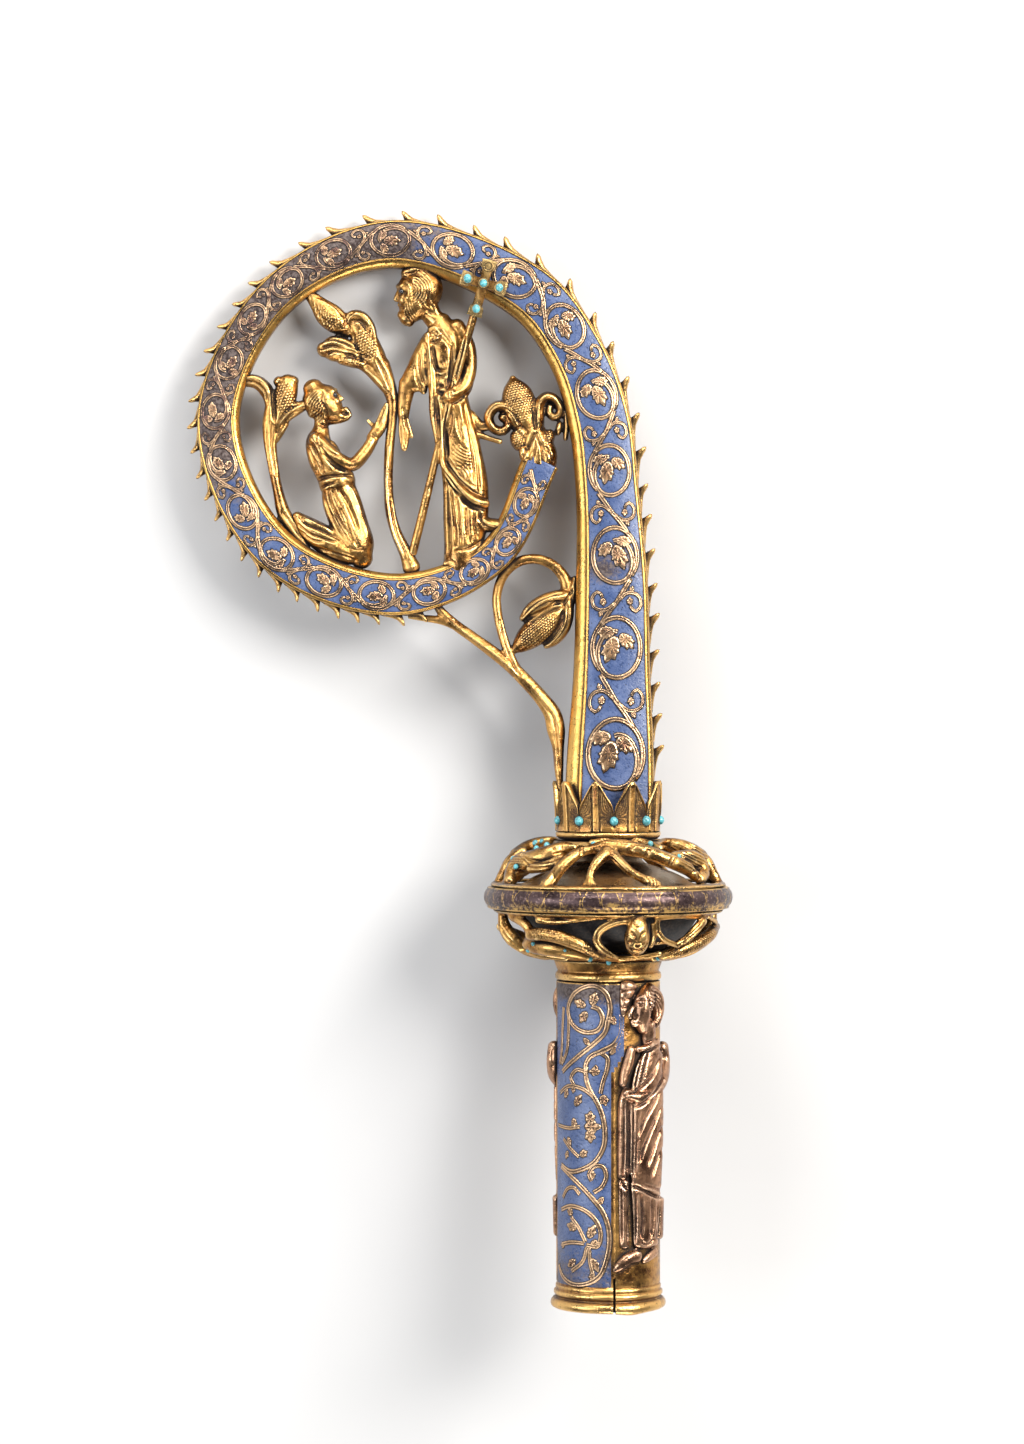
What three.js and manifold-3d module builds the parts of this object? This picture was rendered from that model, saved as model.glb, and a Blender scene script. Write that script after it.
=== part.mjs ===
// Head of a crosier in gilded copper and champlevé enamel: a socket for the staff with two robed
// figures, an openwork knop, a collar of leaves, a crested crook that curls into a volute, a stay that
// braces it, and a saint and a kneeling man among trees inside the curl.
// Each piece is built with the head upright: +Y runs up the socket's axis from its mouth, +Z is the
// front. At the end the head is laid on its back, where the knop's rim and the volute carry it.
import * as THREE from "three";
import { mergeVertices } from "three/addons/utils/BufferGeometryUtils.js";
import Module from "manifold-3d";

const wasm = await Module();
wasm.setup();

// Driving dimensions, in millimetres, and degrees where a name says so.
const gap = 0.3; // left between pieces that touch
const socketRadius = 14.5; // outside, where the enamel is
const socketBore = 12.6; // inside, where the staff goes
const socketTop = 91;
const neckTop = 97; // the moulded ring between the socket and the knop
const bandLow = 111; // the knop's dark band
const bandHigh = 117.3;
const bandRadius = 34.8;
const knopTop = 130.2;
const flangeTop = 132.6;
const flangeRadius = 14.7;
const collarRadius = 14.6;
const collarValley = 139.4; // where two leaves of the collar part
const collarTip = 147;
const leafCount = 9;
const leafTurn = 40; // degrees from one leaf to the next
const beadTurn = 5; // degrees from the front to the collar's first bead
const crookFoot = flangeTop + gap;
const eye = [-58, 247.4]; // the point that the volute curls round
const crestRise = 3; // how far a crocket stands off the crook
const crestThickness = 2.2;
const beadRadius = 1;
const figureTurn = 43; // degrees from the front to the first figure on the socket
const maskTurn = 14; // degrees from the front to the first mask on the knop
const restPitch = -8.28; // degrees that the head tips and leans when it lies on its back
const restRoll = -2.28;

// The crook's stem, from its foot upwards: x, y, width across, pitch of the crest.
const stemStops = [
  [0.2, crookFoot, 25, 9.1],
  [0.6, 152, 24.4, 9.1],
  [1, 177, 21.5, 9.1],
  [1, 202, 20.1, 9.1],
  [-0.2, 227, 17.7, 9.1],
];
// The volute: degrees about its eye, distance from the eye, width across, pitch of the crest.
const voluteStops = [
  [0, 55.5, 17.4, 9.1],
  [21, 52.4, 16, 9],
  [45, 50.5, 15.6, 8.9],
  [93, 49.4, 13.3, 8.6],
  [135, 49.1, 11.3, 6.6],
  [180, 51, 11.8, 5.9],
  [225, 50.3, 12.4, 5.4],
  [268, 48.6, 11.8, 5],
  [305, 45.7, 9.8, 5],
  [344, 40.8, 10.4, 5],
];
const crookDepth = 0.88; // of its width

const materials = {
  gilt: { color: 0xc9962e, roughness: 0.35, metalness: 0.9 },
  wornGilt: { color: 0xc08a55, roughness: 0.4, metalness: 0.85 },
  enamel: { color: 0x5a6bb0, roughness: 0.3, metalness: 0 },
  darkBand: { color: 0x4a3434, roughness: 0.45, metalness: 0.5 },
  core: { color: 0x8a7457, roughness: 0.7, metalness: 0.2 },
  turquoise: { color: 0x6fb7c0, roughness: 0.35, metalness: 0 },
};

const front = new THREE.Vector3(0, 0, 1);
const toFront = () => front;
const fromAxis = (p) => new THREE.Vector3(p.x, 0, p.z).normalize();
const radians = THREE.MathUtils.degToRad;

// A closed geometry as a solid that can be joined and cut, and back.
function solidOf(geometry) {
  const bare = geometry.clone();
  bare.deleteAttribute("normal");
  bare.deleteAttribute("uv");
  const merged = mergeVertices(bare, 1e-4);
  return new wasm.Manifold(
    new wasm.Mesh({
      numProp: 3,
      vertProperties: merged.attributes.position.array,
      triVerts: Uint32Array.from(merged.index.array),
    }),
  );
}

function geometryOf(solid) {
  const { vertProperties, triVerts } = solid.getMesh();
  const geometry = new THREE.BufferGeometry();
  geometry.setAttribute("position", new THREE.BufferAttribute(vertProperties, 3));
  geometry.setIndex(new THREE.BufferAttribute(triVerts, 1));
  geometry.computeVertexNormals();
  return geometry;
}

const join = (...solids) => solids.flat(2).reduce((whole, piece) => whole.add(piece));

// A value read between the stops of a list, t running from 0 at the first to 1 at the last.
function between(values, t) {
  const place = t * (values.length - 1);
  const low = Math.min(Math.floor(place), values.length - 2);
  return THREE.MathUtils.lerp(values[low], values[low + 1], place - low);
}

// A value read from pairs [key, value] in rising order of key.
function readOff(pairs, key) {
  const high = Math.max(1, pairs.findIndex(([k]) => k >= key));
  const [[k0, v0], [k1, v1]] = [pairs[high - 1], pairs[high]];
  return THREE.MathUtils.mapLinear(key, k0, k1, v0, v1);
}

const routeThrough = (stops) =>
  new THREE.CatmullRomCurve3(stops.map(([x, y, z]) => new THREE.Vector3(x, y, z)), false, "centripetal");

// A tapering oval limb through stops [x, y, z, half its width, half its depth]. Its depth is measured
// along outward(point). Where flute is set, every second corner is drawn in, as in folded cloth.
function limb(stops, { steps = stops.length, sides = 6, outward = toFront, flute = 0 } = {}) {
  const route = routeThrough(stops);
  const widths = stops.map((stop) => stop[3]);
  const depths = stops.map((stop) => stop[4] ?? stop[3]);
  const geometry = new THREE.CylinderGeometry(1, 1, 1, sides, steps);
  const place = geometry.attributes.position;
  for (let i = 0; i < place.count; i++) {
    const t = route.getUtoTmapping(place.getY(i) + 0.5);
    const point = route.getPoint(t);
    const along = route.getTangent(t);
    const deep = outward(point).clone();
    deep.addScaledVector(along, -deep.dot(along)).normalize();
    const across = along.clone().cross(deep);
    const corner = Math.round((Math.atan2(place.getX(i), place.getZ(i)) * sides) / (2 * Math.PI));
    const size = corner % 2 ? 1 - flute : 1;
    point.addScaledVector(across, place.getX(i) * between(widths, t) * size);
    point.addScaledVector(deep, place.getZ(i) * between(depths, t) * size);
    place.setXYZ(i, point.x, point.y, point.z);
  }
  return solidOf(geometry);
}

// The same limb for each side of the head, front and back.
const onBothFaces = (stops, options) =>
  [1, -1].map((side) => limb(stops.map(([x, y, z, ...size]) => [x, y, side * z, ...size]), options));

// An egg of three half sizes about [x, y, z], turned by degrees in the plane of the volute.
function egg([x, y, z], [a, b, c], turn = 0) {
  const geometry = new THREE.SphereGeometry(1, 6, 4);
  geometry.scale(a, b, c).rotateZ(radians(turn)).translate(x, y, z);
  return solidOf(geometry);
}

function block([x, y, z], [width, height, depth], turn = 0) {
  const geometry = new THREE.BoxGeometry(width, height, depth);
  geometry.rotateZ(radians(turn)).translate(x, y, z);
  return solidOf(geometry);
}

// A shape turned about the socket's axis from a profile [radius, y], listed up its outer side. One that
// starts on the axis is solid, and any other closes on itself and makes a ring.
function turned(profile, segments) {
  const outline = profile[0][0] === 0 ? profile : [...profile, profile[0]];
  const points = outline.map(([radius, y]) => new THREE.Vector2(radius, y));
  return solidOf(new THREE.LatheGeometry(points, segments));
}

// A stop on a surface round the socket's axis: degrees from the front, y, radius, and its half sizes.
const aroundAxis = (turn, y, radius, ...size) => [
  radius * Math.sin(radians(turn)),
  y,
  radius * Math.cos(radians(turn)),
  ...size,
];

// Crook

const crookStops = [
  ...stemStops.map(([x, y, width, pitch]) => [x, y, 0, width, pitch]),
  ...voluteStops.map(([turn, reach, width, pitch]) => [
    eye[0] + reach * Math.cos(radians(turn)),
    eye[1] + reach * Math.sin(radians(turn)),
    0,
    width,
    pitch,
  ]),
];
const crookRoute = routeThrough(crookStops);
const crookLength = crookRoute.getLength();
const crookSides = 10;

// The crook without its crest: a ten-sided tube with a flat strip on its inner and its outer side.
function crookTube(extra = 0) {
  const stretch = Math.cos(Math.PI / crookSides); // the tube's flats, not its corners, give its width
  const stops = crookStops.map(([x, y, z, width]) => [
    x,
    y,
    z,
    width / 2 / stretch + extra,
    (width * crookDepth) / 2 + extra,
  ]);
  return limb(stops, { steps: 40, sides: crookSides });
}

// The point that lies a distance along the crook and off its outer flat.
function besideCrook(distance, off) {
  const t = crookRoute.getUtoTmapping(distance / crookLength);
  const point = crookRoute.getPoint(t);
  const outer = crookRoute.getTangent(t).cross(front);
  return point.addScaledVector(outer, between(crookStops.map((stop) => stop[3]), t) / 2 + off);
}

// The crest: crockets that rise from a thin tail to a lip and drop, closer as the crook thins.
function crest() {
  const pitches = crookStops.map((stop) => stop[4]);
  const first = collarTip + 0.6 - crookFoot;
  const last = crookRoute.getLengths(200)[Math.round(0.862 * 200)];
  const tops = [];
  const roots = [];
  for (let start = first; start < last; ) {
    const pitch = between(pitches, crookRoute.getUtoTmapping(start / crookLength));
    tops.push(besideCrook(start, 0.2));
    tops.push(besideCrook(start + 0.93 * pitch, crestRise));
    roots.unshift(besideCrook(start, -0.8));
    start += pitch;
  }
  const outline = new THREE.Shape([...tops, ...roots]);
  const geometry = new THREE.ExtrudeGeometry(outline, { depth: crestThickness, bevelEnabled: false });
  return solidOf(geometry.translate(0, 0, -crestThickness / 2));
}

const crook = () => join(crookTube(), crest());
const clearOfCrook = (solid) => solid.subtract(crookTube(gap));

// Bud at the end of the volute

function terminalBud() {
  const calyx = limb(
    [
      [-18.62, 236.8, 0, 5, 4.4],
      [-18.5, 238, 0, 5.3, 4.6],
      [-19.6, 241, 0, 5.5, 4.8],
      [-20.8, 244.4, 0, 4.2, 4],
    ],
    { steps: 3, sides: 8 },
  );
  const cone = limb(
    [
      [-21.6, 242, 0, 3.4],
      [-23.4, 248, 0, 4.6],
      [-25, 253, 0, 4.7],
      [-26.2, 257, 0, 3.4],
      [-26.8, 259.6, 0, 1],
    ],
    { steps: 4, sides: 7 },
  );
  const leftLeaf = limb(
    [
      [-22, 243.5, 0, 2.4, 4],
      [-25.8, 249.2, 0, 2.8, 5],
      [-30, 250.4, 0, 2.2, 4.4],
      [-32.6, 247.6, 0, 1.6, 3.6],
      [-30.8, 244.6, 0, 1.4, 2.8],
    ],
    { steps: 5 },
  );
  const rightLeaf = limb(
    [
      [-19.4, 243.5, 0, 2.4, 4],
      [-18.9, 250, 0, 2.6, 4.6],
      [-16.4, 252.9, 0, 2.2, 4.2],
      [-14, 250.6, 0, 1.6, 3.4],
      [-15.4, 247.6, 0, 1.4, 2.4],
    ],
    { steps: 5 },
  );
  const lobes = [-25, -16.2].map((x) => egg([x, 242.2, 0], [2.6, 3.6, 4], x < -20 ? 18 : -18));
  return clearOfCrook(join(calyx, cone, leftLeaf, rightLeaf, lobes));
}

// Saint, kneeling man and trees, cast in one

// The robe and shoulders of the saint, who faces left.
function saintBody() {
  const robe = limb(
    [
      [-41.2, 206, 0, 5, 4.6],
      [-40.2, 214, 0, 5.9, 4.8],
      [-39.6, 221, 0, 6.4, 4.8],
      [-40, 229, 0, 6.3, 4.6],
      [-41, 237, 0, 5.7, 4.4],
      [-42.4, 245, 0, 5.1, 4.2],
      [-43.8, 252, 0, 4.9, 4],
      [-44.4, 259, 0, 5.2, 4.2],
      [-45.2, 266, 0, 5.8, 4.6],
      [-46.2, 271.5, 0, 5.6, 4.2],
      [-47.6, 275.4, 0, 2.8, 2.8],
    ],
    { steps: 7, sides: 8, flute: 0.12 },
  );
  const neck = limb([[-47, 273, 0, 2.4], [-52.4, 280, 0, 2.3]], { steps: 1, sides: 5 });
  const mantleEdge = onBothFaces(
    [
      [-50.6, 271, 2.4, 1, 1.2],
      [-49.6, 258, 2.6, 1.1, 1.4],
      [-48, 244, 2.4, 1.1, 1.4],
      [-46.2, 233, 3.2, 1.2, 1.4],
      [-41.6, 226.4, 4, 1.5, 1.2],
      [-33.6, 224, 2.6, 1.2, 1.2],
    ],
    { steps: 5, sides: 3 },
  );
  const train = limb([[-37, 220, 0, 2.6, 4], [-30, 217.6, 0, 2.6, 3]], { steps: 1, sides: 5 });
  const foot = limb([[-38.4, 211, 1.4, 1.6], [-45.6, 207.4, 2, 1.2]], { steps: 1, sides: 5 });
  return [robe, neck, mantleEdge, train, foot];
}

// A head in profile, its middle at [x, y]. Towards = 1 looks right and -1 looks left, and tilt, in
// degrees, lifts the face. Skull, nose and beard stand in plain proportion to the head's height.
function headOf([x, y], height, towards, tilt, bearded) {
  const unit = height / 8;
  const skull = limb(
    [
      [-0.6, 4, 0, 1.2, 1.2],
      [-0.5, 2.8, 0, 3, 2.5],
      [-0.2, 1, 0, 3.4, 2.7],
      [0.3, -1, 0, 2.9, 2.4],
      [1, -3, 0, 1.9, 1.7],
      [1.4, -4, 0, 0.9, 0.9],
    ],
    { steps: 5, sides: 6 },
  );
  const nose = limb([[2.6, 1, 0, 0.3], [3.5, -0.6, 0, 0.6]], { steps: 1, sides: 3 });
  const beard = limb([[1.6, -1.8, 0, 1.9, 1.8], [1.6, -4.9, 0, 1.1, 1]], { steps: 1, sides: 5 });
  const place = new THREE.Matrix4()
    .makeTranslation(x, y, 0)
    .multiply(new THREE.Matrix4().makeRotationZ(radians(tilt * towards)))
    .multiply(new THREE.Matrix4().makeRotationY(towards > 0 ? 0 : Math.PI))
    .multiply(new THREE.Matrix4().makeScale(unit, unit, unit));
  return join(skull, nose, bearded ? beard : []).transform(place.elements);
}

function saintArmsAndStaff() {
  const nearArm = limb(
    [
      [-50, 270, 1, 2.4, 2.6],
      [-52.8, 263.5, 1.4, 3, 2.8],
      [-54.8, 257.6, 1.4, 3.2, 2.4],
      [-56.8, 253.6, 1.2, 2, 1.8],
      [-57.6, 248.4, 1, 1.4, 1.4],
      [-57.5, 243, 0.8, 1.7, 1.2],
      [-57.2, 238.8, 0.8, 0.8, 0.8],
    ],
    { steps: 6, sides: 5 },
  );
  const thumb = limb([[-56.8, 247, 1, 0.8], [-54.8, 242.6, 1, 0.6]], { steps: 1, sides: 3 });
  const farArm = limb(
    [
      [-42.4, 271.6, 0, 2.4, 2.8],
      [-38.7, 266.4, 0.6, 2.3, 2.6],
      [-38.6, 261, 2, 1.9, 2],
      [-40.8, 256.4, 3.6, 1.6, 1.6],
      [-45, 253.6, 5, 1.5, 1.6],
    ],
    { steps: 4, sides: 5 },
  );
  const staff = limb([[-36.4, 278.6, 6.6, 1.1], [-54.8, 209.4, 1.2, 1.1]], { steps: 1, sides: 5 });
  return [nearArm, thumb, farArm, staff];
}

// The cross on the saint's staff, laid over the crook's face, and the places of its beads.
const crossMiddle = new THREE.Vector3(-34.8, 285, 7.9);
const crossTilt = -16;
const crossThickness = 1.6;
const crossArm = 4.6; // from the middle to a bead on a side arm
const crossPlace = (across, up, forward = 0) =>
  new THREE.Vector3(across, up, forward)
    .applyAxisAngle(front, radians(crossTilt))
    .add(crossMiddle)
    .toArray();

// A cross with flared ends on a longer foot, cut from plate.
function cross() {
  const [narrow, broad] = [1.3, 2.1]; // half widths of the arms in the middle and at the ends
  const outline = [];
  for (const [turn, reach] of [[0, 6.6], [90, 6.8], [180, 6.6], [270, 9.6]]) {
    const corners = [[narrow, -narrow], [reach - 3, -narrow], [reach - 2, -broad], [reach, -broad]];
    const arm = [...corners, ...corners.slice(1).reverse().map(([along, side]) => [along, -side])];
    for (const [along, side] of arm)
      outline.push(new THREE.Vector2(along, side).rotateAround(new THREE.Vector2(), radians(turn)));
  }
  const plate = { depth: crossThickness, bevelEnabled: false };
  const geometry = new THREE.ExtrudeGeometry(new THREE.Shape(outline), plate);
  geometry.translate(0, 0, -crossThickness / 2).rotateZ(radians(crossTilt));
  return solidOf(geometry.translate(...crossMiddle));
}

const saint = () =>
  join(saintBody(), headOf([-52.7, 282.6], 16, -1, 4, true), saintHair(), saintArmsAndStaff(), cross());

// Long hair that falls behind the saint's neck.
const saintHair = () =>
  limb(
    [
      [-51, 287.4, 0, 3, 3.4],
      [-48.6, 283.4, 0, 2.6, 3.4],
      [-47.8, 279, 0, 1.7, 2.8],
      [-45.6, 275.6, 0, 1, 1.8],
    ],
    { steps: 3, sides: 5 },
  );

function kneelingMan() {
  const torso = limb(
    [
      [-75.8, 229.6, 0, 4.9, 4.4],
      [-77.8, 233.6, 0, 4.5, 4],
      [-79.8, 238.4, 0, 4.6, 4.2],
      [-80.9, 242.4, 0, 4, 3.8],
      [-80.4, 245.4, 0, 2.7, 2.6],
      [-79.6, 250, 0, 2.4, 2.4],
    ],
    { steps: 5, sides: 8, flute: 0.06 },
  );
  const belt = limb([[-75.6, 229.4, 0, 5.5, 4.9], [-76.4, 231.2, 0, 5.5, 4.9]], { steps: 1, sides: 6 });
  const thigh = limb(
    [
      [-75.9, 230.4, 0, 4.8, 4.4],
      [-74.2, 224, 0, 5, 4.6],
      [-71.4, 216.6, 0, 4.9, 4.6],
      [-69.4, 210.6, 0, 4, 4],
      [-68.8, 207.6, 0, 2.4, 2.6],
    ],
    { steps: 4, sides: 8, flute: 0.1 },
  );
  const shin = limb(
    [
      [-68.6, 209.6, 0, 2.4, 3],
      [-74, 211.8, 0, 3.9, 4.4],
      [-79.6, 214.8, 0, 4.3, 4.6],
      [-84.4, 217.8, 0, 3.6, 3.8],
      [-87.4, 220.4, 0, 1.3, 1.8],
    ],
    { steps: 4, sides: 8, flute: 0.12 },
  );
  const arms = onBothFaces(
    [
      [-81.6, 241.6, 2.8, 2.3],
      [-76.6, 237.6, 3.4, 2.2],
      [-72.4, 235.6, 2.8, 1.9],
      [-69, 237.4, 1.9, 1.8],
      [-63.4, 247.4, 0.8, 1.5],
      [-60.8, 252, 0.6, 0.8],
    ],
    { steps: 5, sides: 4 },
  );
  const thumb = limb([[-64.8, 245.4, 0, 0.9], [-67.2, 247.4, 0, 0.6]], { steps: 1, sides: 3 });
  const head = headOf([-79.2, 252.2], 13, 1, 26, false);
  return join(torso, belt, thigh, shin, arms, thumb, head);
}

// The tree between the two figures and the small one behind the kneeling man.
function trees() {
  const trunk = limb(
    [
      [-55, 206, 0, 2.2],
      [-57.4, 211, 0, 1.7],
      [-60.4, 220, 0, 1.5],
      [-61.8, 231, 0, 1.4],
      [-60.9, 242, 0, 1.5],
      [-59.6, 252, 0, 1.6],
      [-61.6, 260, 0, 2.2],
      [-64.6, 267, 0, 3],
    ],
    { steps: 7, sides: 5 },
  );
  const crown = limb(
    [
      [-62.4, 261, 0, 2.6],
      [-66.8, 269, 0, 4.6],
      [-71.6, 273.6, 0, 5],
      [-77, 277.4, 0, 4.6],
      [-80.6, 281, 0, 2.6],
      [-83.6, 284.4, 0, 1],
    ],
    { steps: 4, sides: 8, flute: 0.1 },
  );
  const leaf = limb(
    [
      [-61.4, 256, 0, 1.6],
      [-66.6, 262, 0, 2.6],
      [-72, 265.8, 0, 3.8, 3.2],
      [-77.6, 267.8, 0, 4, 3.2],
      [-81, 268.6, 0, 2, 2],
    ],
    { steps: 4, sides: 6, flute: 0.14 },
  );
  const smallTrunk = limb(
    [
      [-85.6, 211.4, 0, 1.8],
      [-90, 218, 0, 1.7],
      [-93.2, 230, 0, 1.6],
      [-94.9, 242, 0, 2],
      [-95.2, 249.6, 0, 2.4],
      [-97, 256.4, 0, 2.3],
      [-102.2, 259.6, 0, 1.2],
    ],
    { steps: 6, sides: 5 },
  );
  const smallCrown = limb(
    [
      [-93.6, 245.6, 0, 1.8],
      [-91.4, 252, 0, 3.7],
      [-89.8, 257, 0, 3.4],
      [-89, 260.4, 0, 1.4],
    ],
    { steps: 3, sides: 6 },
  );
  const smallLeaf = limb([[-93, 246, 0, 1], [-89, 250.8, 0, 1.5], [-84, 252, 0, 1.2]], { sides: 4 });
  return join(trunk, crown, leaf, smallTrunk, smallCrown, smallLeaf);
}

const voluteGroup = () => clearOfCrook(join(saint(), kneelingMan(), trees()));

// Stay: a forked stalk that braces the volute, with a tendril that ends in a bud

function stay() {
  const stalk = limb(
    [
      [-13.8, collarTip + gap, 0, 1.2, 1.6],
      [-13.9, 153, 0, 1.4, 1.7],
      [-14.2, 158.6, 0, 2, 1.9],
      [-14.9, 163, 0, 2.9, 2.1],
      [-17.6, 168.4, 0, 2.3, 2.1],
      [-21.6, 173.4, 0, 2.1, 2],
      [-26.4, 178.2, 0, 2, 1.9],
      [-32, 182.6, 0, 1.7, 1.7],
      [-38, 187, 0, 1.5, 1.5],
      [-43, 190.8, 0, 1.4, 1.4],
      [-47, 194.6, 0, 1.1, 1.2],
    ],
    { steps: 9, sides: 5 },
  );
  const lowerProng = limb(
    [
      [-42, 190, 0, 1.2],
      [-50, 192, 0, 1],
      [-55.4, 192.4, 0, 0.7],
    ],
    { steps: 2, sides: 4 },
  );
  const tendril = limb(
    [
      [-25, 178, 0, 1.3],
      [-28.6, 185, 0, 1.3],
      [-31.2, 194.6, 0, 1.25],
      [-29.8, 203.6, 0, 1.3],
      [-25, 208.2, 0, 1.4],
      [-19, 208.8, 0, 1.4],
      [-13.6, 205.4, 0, 1.5],
      [-11, 199.6, 0, 1.9],
      [-12.6, 195.6, 0, 2.2],
    ],
    { steps: 12, sides: 5 },
  );
  const cone = limb(
    [
      [-12.2, 195.8, 0, 3.2],
      [-17, 191.4, 0, 4],
      [-21, 188.2, 0, 4.2],
      [-24, 185.6, 0, 3.2],
      [-26.4, 183.2, 0, 1.6],
    ],
    { steps: 4, sides: 7 },
  );
  const upperLeaf = limb([[-11.6, 197, 0, 2, 3.4], [-17, 197, 0, 2.1, 4], [-23.4, 193.2, 0, 0.9, 2.4]]);
  const lowerLeaf = limb([[-11.4, 195.6, 0, 1.8, 3.4], [-12.6, 189.6, 0, 2, 4], [-16.8, 184.8, 0, 0.9, 2.4]]);
  return clearOfCrook(join(stalk, lowerProng, tendril, cone, upperLeaf, lowerLeaf));
}

// Collar and flange

function leafCollar() {
  const perLeaf = 4;
  const foot = flangeTop + gap;
  const bore = 13.2;
  const rim = collarRadius + 0.6;
  const points = [
    [bore, foot],
    [collarRadius, foot],
    [rim, collarValley],
    [rim - 0.7, collarValley + 0.4],
    [bore, collarValley],
    [bore, foot],
  ].map(([radius, y]) => new THREE.Vector2(radius, y));
  const geometry = new THREE.LatheGeometry(points, leafCount * perLeaf, radians(beadTurn));
  const place = geometry.attributes.position;
  for (let i = 0; i < place.count; i++) {
    const y = place.getY(i);
    if (y < collarValley - gap) continue;
    const turn = THREE.MathUtils.radToDeg(Math.atan2(place.getX(i), place.getZ(i))) - beadTurn;
    const fromValley = THREE.MathUtils.euclideanModulo(turn + 1, leafTurn) - 1;
    const share = 1 - Math.abs(1 - fromValley / (leafTurn / 2));
    place.setY(i, y + (collarTip - collarValley - 0.4) * Math.sqrt(Math.max(0, share)));
  }
  return solidOf(geometry);
}

const collarFlange = () =>
  turned([[0, knopTop + gap], [14, knopTop + gap], [flangeRadius, flangeTop], [0, flangeTop]], 20);

// Knop

// The radius of the openwork's middle at a height below and above the band.
const bowlProfile = [
  [97.3, 17.6],
  [98.6, 22.6],
  [101, 26.6],
  [105, 29.5],
  [bandLow, 31],
];
const domeProfile = [
  [bandHigh, 31.6],
  [121, 28],
  [125.5, 26],
  [128.4, 21.6],
  [knopTop, 15],
];
const onBowl = (turn, y, ...size) => aroundAxis(turn, y, readOff(bowlProfile, y), ...size);
const onDome = (turn, y, ...size) => aroundAxis(turn, y, readOff(domeProfile, y), ...size);

// A branch of the knop's openwork: a limb through stops that face away from the socket's axis.
const branch = (stops, steps, sides = 4) => limb(stops, { steps, sides, outward: fromAxis });

// Winged dragons in pairs, back to back, with a mask between each pair.
function knopLower() {
  const parts = [
    turned([[0, neckTop + gap], [18.8, neckTop + gap], [22.4, 98.4], [13, 99.2], [0, 99.2]], 14),
    turned([[30.4, bandLow - 2.4], [32.2, bandLow - gap], [29, bandLow - gap]], 16),
  ];
  for (const mask of [maskTurn, maskTurn + 180]) {
    const face = [[98.4, 3.4, 1.4], [103.6, 4.2, 1.8], [109.4, 3, 1.2]].map((stop) => onBowl(mask, ...stop));
    parts.push(branch(face, 2));
    for (const side of [1, -1]) {
      const at = (turn, y, ...size) => onBowl(mask + side * turn, y, ...size);
      parts.push(branch([at(8, 98.9, 1.2), at(28, 100, 2), at(52, 103, 2.6), at(76, 106.8, 1.6)], 3)); // body
      parts.push(branch([at(18, 109.6, 0.9), at(30, 103, 1), at(42, 109.6, 0.9)], 2, 3)); // strap
      parts.push(branch([at(52, 103, 1.8, 1.1), at(66, 109.4, 1.8, 1.1)], 1)); // wing
      parts.push(branch([at(74, 99, 1.6), at(91, 109.6, 1.7)], 2, 3)); // tail
    }
  }
  return join(parts);
}

// Dragons that crawl over the top with their feet on the band.
function knopUpper() {
  const foot = bandHigh + gap;
  const parts = [
    turned([[29.8, foot], [33, foot], [31.6, foot + 1.4]], 16),
    turned([[9.4, knopTop - 1.6], [19, knopTop - 1.6], [17, knopTop], [9.4, knopTop]], 12),
  ];
  for (const middle of [0, 180]) {
    for (const side of [1, -1]) {
      const at = (turn, y, ...size) => onDome(middle + side * turn, y, ...size);
      const back = [at(-2, 128.6, 1.8), at(16, 128.8, 2), at(36, 126, 2.4)];
      parts.push(branch([...back, at(54, 123.2, 2.8), at(70, 120.4, 1.9)], 4)); // body and head
      parts.push(branch([at(8, 128, 1.4), at(17, 123, 1.2), at(21, foot + 1, 1.4)], 2)); // foreleg
      parts.push(branch([at(40, 125.6, 1.3), at(44, foot + 1, 1.4)], 1)); // hind leg
      parts.push(branch([at(56, 126, 1.5), at(80, 126.4, 1.8), at(90, foot + 1, 1.5)], 2)); // haunch
    }
  }
  return join(parts);
}

const knopBand = () =>
  turned(
    [
      [27.6, bandLow],
      [33, bandLow],
      [34.4, bandLow + 1],
      [bandRadius, (bandLow + bandHigh) / 2],
      [34.4, bandHigh - 1],
      [33, bandHigh],
      [27.6, bandHigh],
    ],
    26,
  );

const knopCore = () =>
  turned(
    [
      [0, 99.6],
      [16, 99.6],
      [27.2, 110.4],
      [27.2, 116.2],
      [20, 121],
      [9, 124.4],
      [9, knopTop],
      [0, knopTop],
    ],
    18,
  );

// Neck, socket and the figures on it

const neckRing = () =>
  turned(
    [
      [0, socketTop + gap],
      [14.3, socketTop + gap],
      [14.9, socketTop + 1.6],
      [14.3, socketTop + 2.8],
      [15.3, neckTop],
      [0, neckTop],
    ],
    20,
  );

function socket() {
  const tube = turned(
    [
      [socketBore, 0],
      [15.8, 0],
      [16.1, 1.3],
      [14.8, 2.8],
      [15.2, 4.4],
      [socketRadius, 6],
      [socketRadius, socketTop],
      [socketBore, socketTop],
    ],
    24,
  );
  const slit = block([1.3, 4, socketRadius], [1, 10, 6]);
  return tube.subtract(slit);
}

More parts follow.
